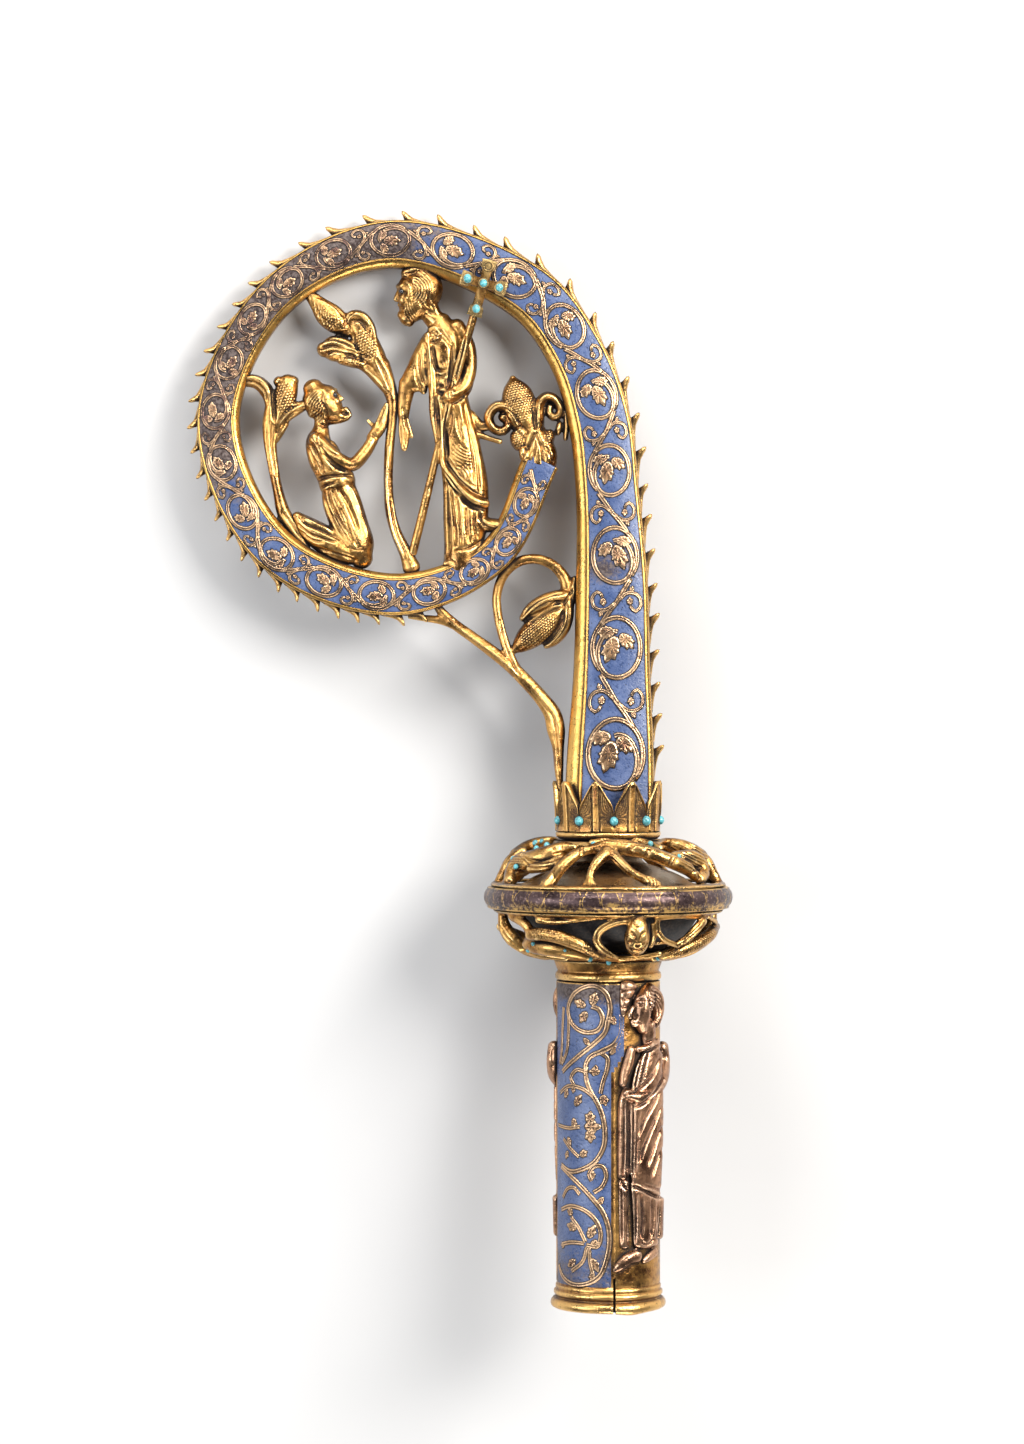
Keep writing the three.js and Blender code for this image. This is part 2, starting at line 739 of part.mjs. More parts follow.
// A robed figure in relief on the socket. Stops are millimetres round the socket from the figure's
// middle line, the height up the socket and off its face, and half sizes.
function socketFigure(turn) {
  const perDegree = radians(1) * socketRadius;
  const onWall = (stops, steps, sides = 4, flute = 0) =>
    limb(
      stops.map(([across, y, off, ...size]) =>
        aroundAxis(turn + across / perDegree, y, socketRadius + off, ...size),
      ),
      { outward: fromAxis, steps, sides, flute },
    );
  const tunic = [[0, 17.4, 0.8, 5.4, 1.4], [0.3, 33, 0.8, 5.6, 1.4]];
  const mantle = [
    [0.3, 32, 1, 6.6, 1.7],
    [0.2, 48, 1, 7.2, 1.9],
    [0.4, 61, 1.2, 7, 2.2],
    [0.8, 70, 1.2, 6, 2.3],
    [0.8, 75, 1.2, 3, 1.8],
  ];
  const head = [
    [-0.4, 76.8, 2.2, 1.8],
    [-0.2, 79.4, 2.6, 3, 2.6],
    [0, 83, 2.8, 4, 3.2],
    [0.4, 86.4, 2.4, 3.8, 2.8],
    [0.6, 88.4, 1.8, 1.8],
  ];
  const parts = [
    onWall(tunic, 1, 6, 0.14),
    onWall(mantle, 3, 8, 0.12),
    onWall([[-6.8, 58.6, 2, 1.1], [-1, 61.6, 3, 1.2], [5, 68, 2.6, 1.1]], 2, 3), // fold
    onWall([[-6.4, 33, 1.6, 0.9], [4.6, 31.4, 2, 0.9]], 1, 3), // hem
    onWall([[-5.6, 62, 1.6, 1.1], [-6.2, 66.6, 1.6, 1.3]], 1), // hand
    onWall([[-1.4, 17.4, 1.6, 1.7], [-6.4, 12.8, 1.6, 1]], 1), // foot
    onWall([[0.6, 73.6, 1.2, 2], [0, 80, 1.8, 2]], 1), // neck
    onWall(head, 4, 5),
    onWall([[-2.6, 84.4, 3, 0.8], [-3.8, 82.4, 3.2, 1]], 1, 3), // nose
  ];
  const wall = new THREE.CylinderGeometry(socketRadius + gap, socketRadius + gap, 100, 24);
  return join(parts).subtract(solidOf(wall.translate(0, 50, 0)));
}

// A round stone with a flat back that sits at a point and faces outward.
function bead(point, outward) {
  const profile = [new THREE.Vector2(0, 0)];
  for (const lift of [0, 50, 90])
    profile.push(new THREE.Vector2(beadRadius, 0).rotateAround(new THREE.Vector2(), radians(lift)));
  const geometry = new THREE.LatheGeometry(profile, 6);
  geometry.applyQuaternion(new THREE.Quaternion().setFromUnitVectors(new THREE.Vector3(0, 1, 0), outward));
  return solidOf(geometry.translate(...point));
}

// The whole head

const upright = new THREE.Group();

function add(name, solid, material) {
  const mesh = new THREE.Mesh(geometryOf(solid), new THREE.MeshStandardMaterial(materials[material]));
  mesh.name = name;
  upright.add(mesh);
}

add("crook", crook(), "enamel");
add("terminal_bud", terminalBud(), "gilt");
add("volute_group", voluteGroup(), "gilt");
add("stay", stay(), "gilt");
add("leaf_collar", leafCollar(), "gilt");
add("collar_flange", collarFlange(), "gilt");
add("knop_core", knopCore(), "core");
add("knop_upper", knopUpper(), "gilt");
add("knop_band", knopBand(), "darkBand");
add("knop_lower", knopLower(), "gilt");
add("neck_ring", neckRing(), "gilt");
add("socket", socket(), "enamel");
add("socket_figure_right", socketFigure(figureTurn), "wornGilt");
add("socket_figure_left", socketFigure(figureTurn + 180), "wornGilt");
for (let k = 0; k < leafCount; k++) {
  const turn = beadTurn + (k - 2) * leafTurn;
  const place = aroundAxis(turn, collarValley - 3.6, collarRadius + gap + 0.35);
  add("collar_bead_" + (k + 1), bead(place, fromAxis(new THREE.Vector3(...place))), "turquoise");
}
const crossBeads = { centre: [0, 0], left: [-crossArm, 0], right: [crossArm, 0], foot: [0, -7.4] };
for (const [name, [across, up]] of Object.entries(crossBeads))
  add("cross_bead_" + name, bead(crossPlace(across, up, crossThickness / 2 + gap), front), "turquoise");

const group = new THREE.Group();
group.add(upright);
upright.rotation.set(radians(restPitch), radians(restRoll), 0);
upright.updateMatrixWorld(true);
const reach = new THREE.Box3().setFromObject(upright, true);
const middle = reach.getCenter(new THREE.Vector3());
upright.position.set(-middle.x, -middle.y, -reach.min.z);

export default group;
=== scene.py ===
import math

import bmesh
import bpy
import numpy as np
from mathutils import Matrix, Vector


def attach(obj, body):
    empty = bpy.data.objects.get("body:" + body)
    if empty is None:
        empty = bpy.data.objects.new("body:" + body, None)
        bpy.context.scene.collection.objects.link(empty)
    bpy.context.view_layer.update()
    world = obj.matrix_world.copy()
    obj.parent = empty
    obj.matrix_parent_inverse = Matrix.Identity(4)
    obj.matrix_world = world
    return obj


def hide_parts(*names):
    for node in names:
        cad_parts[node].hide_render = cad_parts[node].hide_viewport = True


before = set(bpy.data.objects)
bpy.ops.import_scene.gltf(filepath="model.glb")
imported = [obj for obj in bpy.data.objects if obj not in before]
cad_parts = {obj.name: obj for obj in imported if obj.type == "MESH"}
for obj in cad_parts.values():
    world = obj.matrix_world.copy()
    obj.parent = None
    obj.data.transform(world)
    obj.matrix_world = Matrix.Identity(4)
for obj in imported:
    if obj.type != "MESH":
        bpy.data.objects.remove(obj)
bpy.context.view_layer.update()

# Everything is drawn upright in millimetres: y runs up the socket's axis from its mouth, z is the front.
# toRow lays it down as the frame has it, in metres.
lying = {"pitch": -8.28, "roll": -2.28}  # degrees
pitch = Matrix.Rotation(math.radians(lying["pitch"]), 3, "X")
roll = Matrix.Rotation(math.radians(lying["roll"]), 3, "Y")
turn = np.array(pitch @ roll)
socketPoints = np.array([v.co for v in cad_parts["socket"].data.vertices]) @ turn * 1000
socketLow, socketHigh = socketPoints.min(0), socketPoints.max(0)
mouth = np.array([(socketLow[0] + socketHigh[0]) / 2, socketLow[1], (socketLow[2] + socketHigh[2]) / 2])
front = np.array([0.0, 0.0, 1.0])


def toRow(points):
    return (np.asarray(points, float) + mouth) @ turn.T / 1000


# Nodes


def newObject(name, data):
    made = bpy.data.objects.new(name, data)
    bpy.context.scene.collection.objects.link(made)
    return made


def addNode(tree, kind, sockets={}, **settings):
    made = tree.nodes.new(kind)
    for key, value in settings.items():
        setattr(made, key, value)
    for key, value in sockets.items():
        socket = made.inputs[key]
        if isinstance(value, bpy.types.NodeSocket):
            tree.links.new(value, socket)
        else:
            socket.default_value = value
    return made


def mathNode(tree, operation, *values, clamp=False):
    made = tree.nodes.new("ShaderNodeMath")
    made.operation = operation
    made.use_clamp = clamp
    for socket, value in zip(made.inputs, values):
        if isinstance(value, bpy.types.NodeSocket):
            tree.links.new(value, socket)
        else:
            socket.default_value = value
    return made.outputs[0]


def mixColours(tree, factor, low, high, blend="MIX"):
    made = tree.nodes.new("ShaderNodeMix")
    made.data_type = "RGBA"
    made.blend_type = blend
    for socket, value in zip([made.inputs[0], made.inputs[6], made.inputs[7]], [factor, low, high]):
        if isinstance(value, bpy.types.NodeSocket):
            tree.links.new(value, socket)
        else:
            socket.default_value = value if isinstance(value, float) else (*value, 1.0)
    return made.outputs[2]


def stretch(tree, value, low, high, toLow=0.0, toHigh=1.0):
    sockets = {"Value": value, "From Min": low, "From Max": high, "To Min": toLow, "To Max": toHigh}
    return addNode(tree, "ShaderNodeMapRange", sockets, interpolation_type="SMOOTHSTEP").outputs[0]


def noiseOf(tree, place, size, detail=3.0, roughness=0.55):
    sockets = {"Vector": place, "Scale": 1000 / size, "Detail": detail, "Roughness": roughness}
    return addNode(tree, "ShaderNodeTexNoise", sockets).outputs["Fac"]


def newMaterial(name):
    material = bpy.data.materials.new(name)
    material.use_nodes = True
    tree = material.node_tree
    tree.nodes.clear()
    place = addNode(tree, "ShaderNodeTexCoord").outputs["Object"]
    shader = tree.nodes.new("ShaderNodeBsdfPrincipled")
    output = tree.nodes.new("ShaderNodeOutputMaterial")
    tree.links.new(shader.outputs[0], output.inputs[0])
    return material, tree, place, shader


def plug(tree, shader, **sockets):
    names = {"colour": "Base Color", "roughness": "Roughness", "metallic": "Metallic", "normal": "Normal"}
    for key, value in sockets.items():
        socket = shader.inputs[names[key]]
        if isinstance(value, bpy.types.NodeSocket):
            tree.links.new(value, socket)
        elif isinstance(value, float):
            socket.default_value = value
        else:
            socket.default_value = (*value, 1.0)


# How far a spot is sunk below what is round it, 0 in a deep corner and 1 in the open; the materials use it to
# paint shade into corners and recesses
def openness(tree, reach):
    shaded = addNode(tree, "ShaderNodeAmbientOcclusion", {"Distance": reach / 1000}, samples=6)
    return shaded.outputs["AO"]


# The near-black colour of each gilding paints shade in the corners and also real grime in stains and pits
gilding = {
    "gilt": {"bright": (0.90, 0.57, 0.21), "plain": (0.58, 0.30, 0.085), "dull": (0.19, 0.082, 0.030),
             "shadeAndGrime": (0.020, 0.011, 0.007), "rubbed": 0.5, "dirt": 0.55},
    "deepGilt": {"bright": (0.86, 0.52, 0.15), "plain": (0.40, 0.195, 0.035), "dull": (0.13, 0.055, 0.018),
                 "shadeAndGrime": (0.018, 0.009, 0.006), "rubbed": 0.5, "dirt": 0.5},
    # The side colour of figureGilt is painted shade for the sides that turn away from the front
    "figureGilt": {"bright": (0.95, 0.64, 0.26), "plain": (0.60, 0.315, 0.09), "dull": (0.21, 0.09, 0.030),
                   "shadeAndGrime": (0.016, 0.009, 0.006), "rubbed": 0.6, "dirt": 0.55, "side": (0.15, 0.12, 0.105)},
    "reserve": {"bright": (0.80, 0.55, 0.34), "plain": (0.47, 0.275, 0.145), "dull": (0.20, 0.10, 0.06),
                "shadeAndGrime": (0.020, 0.012, 0.010), "rubbed": 0.4, "dirt": 0.4, "loss": (0.115, 0.062, 0.060)},
    "wornGilt": {"bright": (0.90, 0.60, 0.40), "plain": (0.50, 0.27, 0.155), "dull": (0.17, 0.075, 0.042),
                 "shadeAndGrime": (0.020, 0.010, 0.008), "rubbed": 0.6, "dirt": 0.5},
    "bandMetal": {"bright": (0.30, 0.20, 0.18), "plain": (0.085, 0.052, 0.052), "dull": (0.035, 0.02, 0.021),
                  "shadeAndGrime": (0.010, 0.006, 0.007), "rubbed": 0.3, "dirt": 0.4},
    "coreMetal": {"bright": (0.55, 0.43, 0.30), "plain": (0.36, 0.27, 0.18), "dull": (0.24, 0.175, 0.115),
                  "shadeAndGrime": (0.02, 0.014, 0.010), "rubbed": 0.2, "dirt": 0.4},
}


# Old gilding: bright where it is rubbed, red-brown and dull in patches, with painted shade going near black
# in the corners, mixed with real grime in stains and pits; on the figures, painted shade on the sides that
# turn away from the front
def gildedMaterial(name):
    look = gilding[name]
    material, tree, place, shader = newMaterial(name)
    geometry = addNode(tree, "ShaderNodeNewGeometry")
    ridge = stretch(tree, geometry.outputs["Pointiness"], 0.5, 0.56)
    open_ = stretch(tree, openness(tree, 2.0), 0.40, 0.97)
    cloud = noiseOf(tree, place, 7, 4.0, 0.6)
    speck = noiseOf(tree, place, 0.9, 3.0, 0.7)
    stain = noiseOf(tree, place, 2.4, 4.0, 0.65)
    pits = stretch(tree, noiseOf(tree, place, 0.5, 2.0, 0.5), 0.63, 0.70)
    patch = stretch(tree, mathNode(tree, "MULTIPLY_ADD", stain, 0.6, cloud), 0.60, 0.92)
    tone = mixColours(tree, patch, look["dull"], look["plain"])
    shine = mathNode(tree, "MULTIPLY", ridge, look["rubbed"] * 1.6, clamp=True)
    tone = mixColours(tree, shine, tone, look["bright"])
    # Painted shade: surfaces whose normal turns away from the front and the lamps go dull grey-brown, broken
    # up by the stain noise
    if "side" in look:
        facing = addNode(tree, "ShaderNodeSeparateXYZ", {0: geometry.outputs["Normal"]}).outputs[2]
        worn = mathNode(tree, "MULTIPLY", stretch(tree, facing, 0.10, 0.55, 1.0, 0.0),
                        stretch(tree, stain, 0.34, 0.52))
        tone = mixColours(tree, mathNode(tree, "MULTIPLY", worn, 0.85), tone, look["side"])
    if "loss" in look:
        lost = addNode(tree, "ShaderNodeAttribute", attribute_name="lost").outputs["Fac"]
        lost = mathNode(tree, "MULTIPLY", stretch(tree, lost, 0.3, 0.75), stretch(tree, stain, 0.60, 0.38))
        tone = mixColours(tree, mathNode(tree, "MULTIPLY", lost, 0.9), tone, look["loss"])
    # Painted shade: ambient occlusion darkens the corners towards the near-black colour, and the stain noise
    # adds real grime on top
    shadeAndSoil = mathNode(tree, "SUBTRACT", 1.0, open_)
    shadeAndSoil = mathNode(tree, "MULTIPLY_ADD", stain, look["dirt"], shadeAndSoil)
    shadeAndSoil = stretch(tree, shadeAndSoil, 0.34, 0.86)
    tone = mixColours(tree, shadeAndSoil, tone, look["shadeAndGrime"])
    tone = mixColours(tree, mathNode(tree, "MULTIPLY", pits, 0.8), tone, look["shadeAndGrime"])
    metal = stretch(tree, shadeAndSoil, 0.2, 1.0, 1.0, 0.3)
    rough = mathNode(tree, "MULTIPLY_ADD", shadeAndSoil, 0.35, stretch(tree, cloud, 0.3, 0.7, 0.23, 0.38))
    bump = addNode(tree, "ShaderNodeBump", {"Strength": 0.4, "Distance": 0.00016, "Height": speck})
    dent = addNode(tree, "ShaderNodeBump", {"Strength": 0.4, "Distance": 0.0006, "Height": stain,
                                            "Normal": bump.outputs[0]})
    plug(tree, shader, colour=tone, roughness=rough, metallic=metal, normal=dent.outputs[0])
    return material


enamelLook = {
    "blue": (0.050, 0.082, 0.195), "pale": (0.105, 0.145, 0.28), "deep": (0.020, 0.034, 0.09),
    # bare is the brown of bare metal, also used for painted shade in the enamel's corners
    "bare": (0.050, 0.032, 0.030), "film": (0.16, 0.125, 0.115), "pit": 0.85,
}


# Champlevé enamel: clouded slate blue with small dark pits, gone in places down to brown metal, with painted
# shade in its corners along the raised metal
def enamelMaterial():
    look = enamelLook
    material, tree, place, shader = newMaterial("enamel")
    cloud = noiseOf(tree, place, 6, 4.0, 0.6)
    grain = noiseOf(tree, place, 0.9, 3.0, 0.6)
    pits = addNode(tree, "ShaderNodeTexVoronoi", {"Vector": place, "Scale": 1000 / look["pit"],
                                                  "Randomness": 1.0})
    pit = stretch(tree, pits.outputs["Distance"], 0.13, 0.22, 1.0, 0.0)
    few = addNode(tree, "ShaderNodeSeparateColor", {0: pits.outputs["Color"]}).outputs[0]
    pit = mathNode(tree, "MULTIPLY", pit, mathNode(tree, "GREATER_THAN", few, 0.62))
    tone = mixColours(tree, stretch(tree, cloud, 0.38, 0.70), look["blue"], look["pale"])
    tone = mixColours(tree, stretch(tree, grain, 0.44, 0.28, 0.0, 0.7), tone, look["deep"])
    lost = addNode(tree, "ShaderNodeAttribute", attribute_name="lost").outputs["Fac"]
    lost = mathNode(tree, "MULTIPLY_ADD", grain, 0.35, mathNode(tree, "MULTIPLY_ADD", cloud, 0.55, lost))
    lost = stretch(tree, lost, 0.74, 0.98)
    metal = mixColours(tree, stretch(tree, grain, 0.35, 0.65), look["bare"], look["film"])
    # Painted shade: ambient occlusion darkens the enamel to the brown of bare metal in the corners along the
    # raised metal
    edge = stretch(tree, openness(tree, 0.7), 0.35, 0.8, 0.9, 0.0)
    tone = mixColours(tree, lost, tone, metal)
    tone = mixColours(tree, edge, tone, look["bare"])
    tone = mixColours(tree, pit, tone, (0.012, 0.012, 0.018))
    rough = mathNode(tree, "MULTIPLY_ADD", lost, 0.12, stretch(tree, grain, 0.3, 0.7, 0.22, 0.42))
    height = mathNode(tree, "SUBTRACT", grain, mathNode(tree, "MULTIPLY_ADD", pit, 0.9, lost))
    bump = addNode(tree, "ShaderNodeBump", {"Strength": 0.6, "Distance": 0.00025, "Height": height})
    plug(tree, shader, colour=tone, roughness=rough, metallic=mathNode(tree, "MULTIPLY", lost, 0.5),
         normal=bump.outputs[0])
    return material


# Near-black fill: a real dark joint round reserved metal, and painted shade inside the socket tube and behind
# the knop's openwork
def darkJointAndShadeMaterial():
    material, tree, place, shader = newMaterial("darkJointAndShade")
    grain = noiseOf(tree, place, 0.8, 3.0, 0.6)
    tone = mixColours(tree, stretch(tree, grain, 0.4, 0.75), (0.008, 0.007, 0.009), (0.05, 0.036, 0.028))
    plug(tree, shader, colour=tone, roughness=0.6)
    return material


def glassMaterial(name, colour, roughness):
    material, tree, place, shader = newMaterial(name)
    cloud = noiseOf(tree, place, 0.8, 2.0, 0.6)
    dark = tuple(channel * 0.45 for channel in colour)
    plug(tree, shader, colour=mixColours(tree, stretch(tree, cloud, 0.35, 0.65), dark, colour),
         roughness=roughness)
    shader.inputs["Coat Weight"].default_value = 0.5
    return material


materials = {name: gildedMaterial(name) for name in gilding}
materials["enamel"] = enamelMaterial()
materials["darkJointAndShade"] = darkJointAndShadeMaterial()
materials["turquoise"] = glassMaterial("turquoise", (0.14, 0.52, 0.58), 0.22)
materials["darkGlass"] = glassMaterial("darkGlass", (0.02, 0.022, 0.03), 0.1)
print("materials ready")

# Lines, rings and skins


# Centripetal spline through stops [x, y, z, sizes...], resampled to even steps
def routeThrough(stops, count):
    stops = np.array(stops, float)
    ends = [2 * stops[0] - stops[1], *stops, 2 * stops[-1] - stops[-2]]
    fine = []
    t = np.linspace(0, 1, 24, endpoint=False)[:, None]
    for a, b, c, d in zip(ends, ends[1:], ends[2:], ends[3:]):
        d0, d1, d2 = (max(np.linalg.norm((q - p)[:3]) ** 0.5, 1e-3) for p, q in ((a, b), (b, c), (c, d)))
        m1 = ((b - a) / d0 - (c - a) / (d0 + d1) + (c - b) / d1) * d1
        m2 = ((c - b) / d1 - (d - b) / (d1 + d2) + (d - c) / d2) * d1
        h = [2 * t**3 - 3 * t**2 + 1, t**3 - 2 * t**2 + t, 3 * t**2 - 2 * t**3, t**3 - t**2]
        fine.append(h[0] * b + h[1] * m1 + h[2] * c + h[3] * m2)
    fine = np.vstack([*fine, stops[-1:]])
    run = np.r_[0, np.cumsum(np.linalg.norm(np.diff(fine[:, :3], axis=0), axis=1))]
    even = np.linspace(0, run[-1], count)
    return np.column_stack([np.interp(even, run, column) for column in fine.T])


def circle(count):
    return np.linspace(0, 2 * math.pi, count, endpoint=False)


def unit(vectors):
    return vectors / np.linalg.norm(vectors, axis=-1, keepdims=True)


# Tube of rings with both ends capped, as points and faces
def skin(rings, capped=True):
    n, m = rings.shape[:2]
    row = np.arange(n - 1)[:, None] * m
    here = np.arange(m)
    ahead = (here + 1) % m
    quads = np.stack([row + here, row + ahead, row + m + ahead, row + m + here], -1).reshape(-1, 4).tolist()
    ends = [list(range(m))[::-1], list(range((n - 1) * m, n * m))] if capped else []
    return rings.reshape(-1, 3), quads + ends


def joinSkins(skins):
    points, faces, start = [], [], 0
    for somePoints, someFaces in skins:
        points.append(np.asarray(somePoints, float))
        faces.extend([[i + start for i in face] for face in someFaces])
        start += len(somePoints)
    return np.vstack(points), faces


# Oval limb through stops [x, y, z, half width, half depth] with round ends
def limb(stops, sides=14, step=0.8, outward=front, roundEnds=True):
    stops = [list(s) + [s[3]] * (5 - len(s)) for s in stops]
    length = sum(math.dist(a[:3], b[:3]) for a, b in zip(stops, stops[1:]))
    route = routeThrough(stops, max(4, int(length / step)))
    centre, sizes = route[:, :3], route[:, 3:5]
    if roundEnds:
        along = unit(np.gradient(centre, axis=0))
        caps = []
        for end, sign in ((0, -1), (-1, 1)):
            cap = [(math.sin(a), math.cos(a)) for a in (0.5, 0.95, 1.3, 1.52)]
            rise = [centre[end] + along[end] * sign * sizes[end].min() * 0.9 * up for up, _ in cap]
            narrow = [sizes[end] * shrink for _, shrink in cap]
            caps.append((rise[::sign], narrow[::sign]))
        centre = np.vstack([caps[0][0], centre, caps[1][0]])
        sizes = np.vstack([caps[0][1], sizes, caps[1][1]])
    along = unit(np.gradient(centre, axis=0))
    deep = outward(centre) if callable(outward) else np.broadcast_to(outward, centre.shape)
    deep = unit(deep - along * (deep * along).sum(1, keepdims=True))
    across = np.cross(along, deep)
    angle = circle(sides)
    rings = (centre[:, None] + across[:, None] * (sizes[:, :1] * np.sin(angle))[..., None]
             + deep[:, None] * (sizes[:, 1:] * np.cos(angle))[..., None])
    return skin(rings)


# Pieces


def outwardFaces(mesh):
    edit = bmesh.new()
    edit.from_mesh(mesh)
    bmesh.ops.recalc_face_normals(edit, faces=edit.faces)
    edit.to_mesh(mesh)
    edit.free()


# Object in place from points drawn upright in millimetres
def makePiece(name, points, faces, material, smooth=True):
    mesh = bpy.data.meshes.new(name)
    mesh.from_pydata(toRow(points).tolist(), [], faces)
    outwardFaces(mesh)
    mesh.polygons.foreach_set("use_smooth", [smooth] * len(mesh.polygons))
    mesh.materials.append(materials[material])
    piece = newObject(name, mesh)
    return piece


def addValues(piece, name, values):
    attribute = piece.data.attributes.new(name, "FLOAT", "POINT")
    attribute.data.foreach_set("value", np.ascontiguousarray(values, np.float32))


# Most triangles that the heavily carved pieces keep
mostTriangles = {"saint": 90000, "kneeler": 60000, "trees": 50000, "bud": 40000, "knop_dragons": 72000,
                 "knop_openwork": 72000, "robed_figure_right": 46000, "robed_figure_left": 46000}


def lighten(piece, triangles):
    present = sum(len(face.vertices) - 2 for face in piece.data.polygons)
    fewer = piece.modifiers.new("fewer", "DECIMATE")
    fewer.ratio = min(1.0, triangles / present)
    lighter = bpy.data.meshes.new_from_object(piece.evaluated_get(bpy.context.evaluated_depsgraph_get()))
    piece.modifiers.clear()
    piece.data = lighter


def finishPiece(piece, slot, *nodes):
    if piece.name in mostTriangles:
        lighten(piece, mostTriangles[piece.name])
    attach(piece, "root")
    if nodes:
        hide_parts(*nodes)
    print(piece.name, len(piece.data.polygons), "faces")
    return piece


# Crook

crook = {
    "foot": 132.9, "eye": (-58, 247.4), "depth": 0.86, "steps": 900,
    "panelIn": -0.65, "panelOut": 0.85,  # edges of the enamel, as shares of the half width
    "panelFlat": 0.84, "panelCrown": 0.12,  # how far forward it stands, as shares of the half depth
    "borderWidth": 0.055, "borderLift": 0.03,
}
stem = [(0.2, crook["foot"], 25), (0.6, 152, 24.4), (1, 177, 21.5), (1, 202, 20.1), (-0.2, 227, 17.7)]
volute = [(0, 55.5, 17.4), (21, 52.4, 16), (45, 50.5, 15.6), (93, 49.4, 13.3), (135, 49.1, 11.3),
          (180, 51, 11.8), (225, 50.3, 12.4), (268, 48.6, 11.8), (305, 45.7, 9.8), (344, 40.8, 10.4)]
crookStops = [(x, y, 0, width / 2) for x, y, width in stem]
for angle, reach, width in volute:
    x = crook["eye"][0] + reach * math.cos(math.radians(angle))
    y = crook["eye"][1] + reach * math.sin(math.radians(angle))
    crookStops.append((x, y, 0, width / 2))
crookLine = routeThrough(crookStops, crook["steps"])
crookAlong = unit(np.gradient(crookLine[:, :3], axis=0))
crookOut = np.cross(crookAlong, front)
crookRun = np.r_[0, np.cumsum(np.linalg.norm(np.diff(crookLine[:, :3], axis=0), axis=1))]


# Middle, outward direction and half width of the crook at distances from its foot
def alongCrook(distance):
    pick = [np.interp(distance, crookRun, column) for column in np.column_stack([crookLine, crookOut]).T]
    return np.stack(pick[:3], -1), np.stack(pick[4:7], -1), pick[3]


# Point on the enamel: q runs across the panel from -1 to 1, face is 1 on the front and -1 on the back
def onPanel(distance, q, lift, face=1):
    middle, out, half = alongCrook(distance)
    side = (crook["panelIn"] + crook["panelOut"]) / 2 + q * (crook["panelOut"] - crook["panelIn"]) / 2
    height = (crook["panelFlat"] + crook["panelCrown"] * (1 - q**2)) * crook["depth"] * half + lift
    return middle + out * (side * half)[..., None] + front * (face * height)[..., None]


def crookSection():
    flat, crown, lift = crook["panelFlat"], crook["panelCrown"], crook["borderLift"]
    wide = crook["borderWidth"]
    points = [(1.0, 0.0, 0), (1.0, 0.3, 0), (0.985, 0.42, 0)]
    for edge, sign in ((crook["panelOut"], 1), (crook["panelIn"], -1)):
        rim = [(edge + sign * (wide + 0.035), flat - 0.09, 0),
               (edge + sign * (wide + 0.015), flat - 0.10, 0),
               (edge + sign * (wide + 0.01), flat + lift * 0.4, 0),
               (edge + sign * wide * 0.5, flat + lift, 0), (edge + sign * 0.01, flat + lift, 0),
               (edge, flat - 0.02, 0)]
        points += rim if sign > 0 else rim[::-1]
        if sign > 0:
            for q in np.linspace(0.985, -0.985, 21):
                low, high = crook["panelIn"], crook["panelOut"]
                side = (low + high) / 2 + q * (high - low) / 2
                points.append((side, flat - 0.02 + crown * (1 - q**2), 1))
    points += [(-0.985, 0.42, 0), (-1.0, 0.3, 0), (-1.0, 0.0, 0)]
    return points + [(side, -height, kind) for side, height, kind in points[-2:0:-1]]


# How much of the enamel is gone, from 0 to 1, at distances along the crook
def lossAlongCrook(distance):
    share = distance / crookRun[-1]
    return np.interp(share, [0, 0.16, 0.18, 0.21, 0.40, 0.46, 0.52, 0.66, 0.72, 0.80, 1],
                     [0.10, 0.16, 0.5, 0.12, 0.16, 0.42, 0.85, 0.80, 0.35, 0.16, 0.12])


def makeCrookBody():
    section = crookSection()
    side = np.array([s for s, _, _ in section])
    height = np.array([h for _, h, _ in section])
    enamelled = [kind for _, _, kind in section]
    picked = np.unique(np.r_[np.arange(0, len(crookLine), 2), len(crookLine) - 1])
    line, out = crookLine[picked], crookOut[picked]
    half = line[:, 3:4]
    rings = (line[:, None, :3] + out[:, None] * (side * half)[..., None]
             + front * (height * half * crook["depth"])[..., None])
    points, faces = skin(rings)
    piece = makePiece("crook_body", points, faces, "deepGilt")
    piece.data.materials.append(materials["enamel"])
    m = len(section)
    isPanel = [enamelled[j] and enamelled[(j + 1) % m] for j in range(m)]
    kinds = [int(isPanel[f % m]) for f in range((len(rings) - 1) * m)] + [0, 0]
    piece.data.polygons.foreach_set("material_index", kinds)
    addValues(piece, "lost", np.repeat(lossAlongCrook(crookRun[picked]), m))
    return finishPiece(piece, "enamel", "crook")


makeCrookBody()

# Crest

crest = {"first": 14.7, "rise": 3, "width": 2.7}
crestPitches = [(0, 9.1), (114, 9.1), (150, 9.0), (205, 8.7), (240, 6.6), (280, 5.9), (330, 5.2), (420, 5)]


# One crocket, one unit long: filled down to the crook, it swells to a flared head that ends in a step
def crocketPoints():
    stops = [(-0.04, 0.02, -0.3, 0.30), (0.2, 0.14, -0.3, 0.42), (0.45, 0.26, -0.3, 0.5),
             (0.66, 0.42, -0.3, 0.58), (0.80, 0.70, -0.25, 0.78), (0.88, 0.90, -0.1, 0.95),
             (0.94, 0.97, 0.35, 1.0), (1.0, 0.98, 0.66, 0.9), (0.975, 0.95, 0.74, 0.6)]
    rings = []
    for ahead, top, low, wide in stops:
        ring = []
        for a in circle(10):
            across, rise = math.sin(a) * wide / 2, (math.cos(a) + 1) / 2
            ring.append((ahead, across * (1.1 - 0.1 * rise), low + (top - low) * rise**0.8))
        rings.append(ring)
    return skin(np.array(rings))


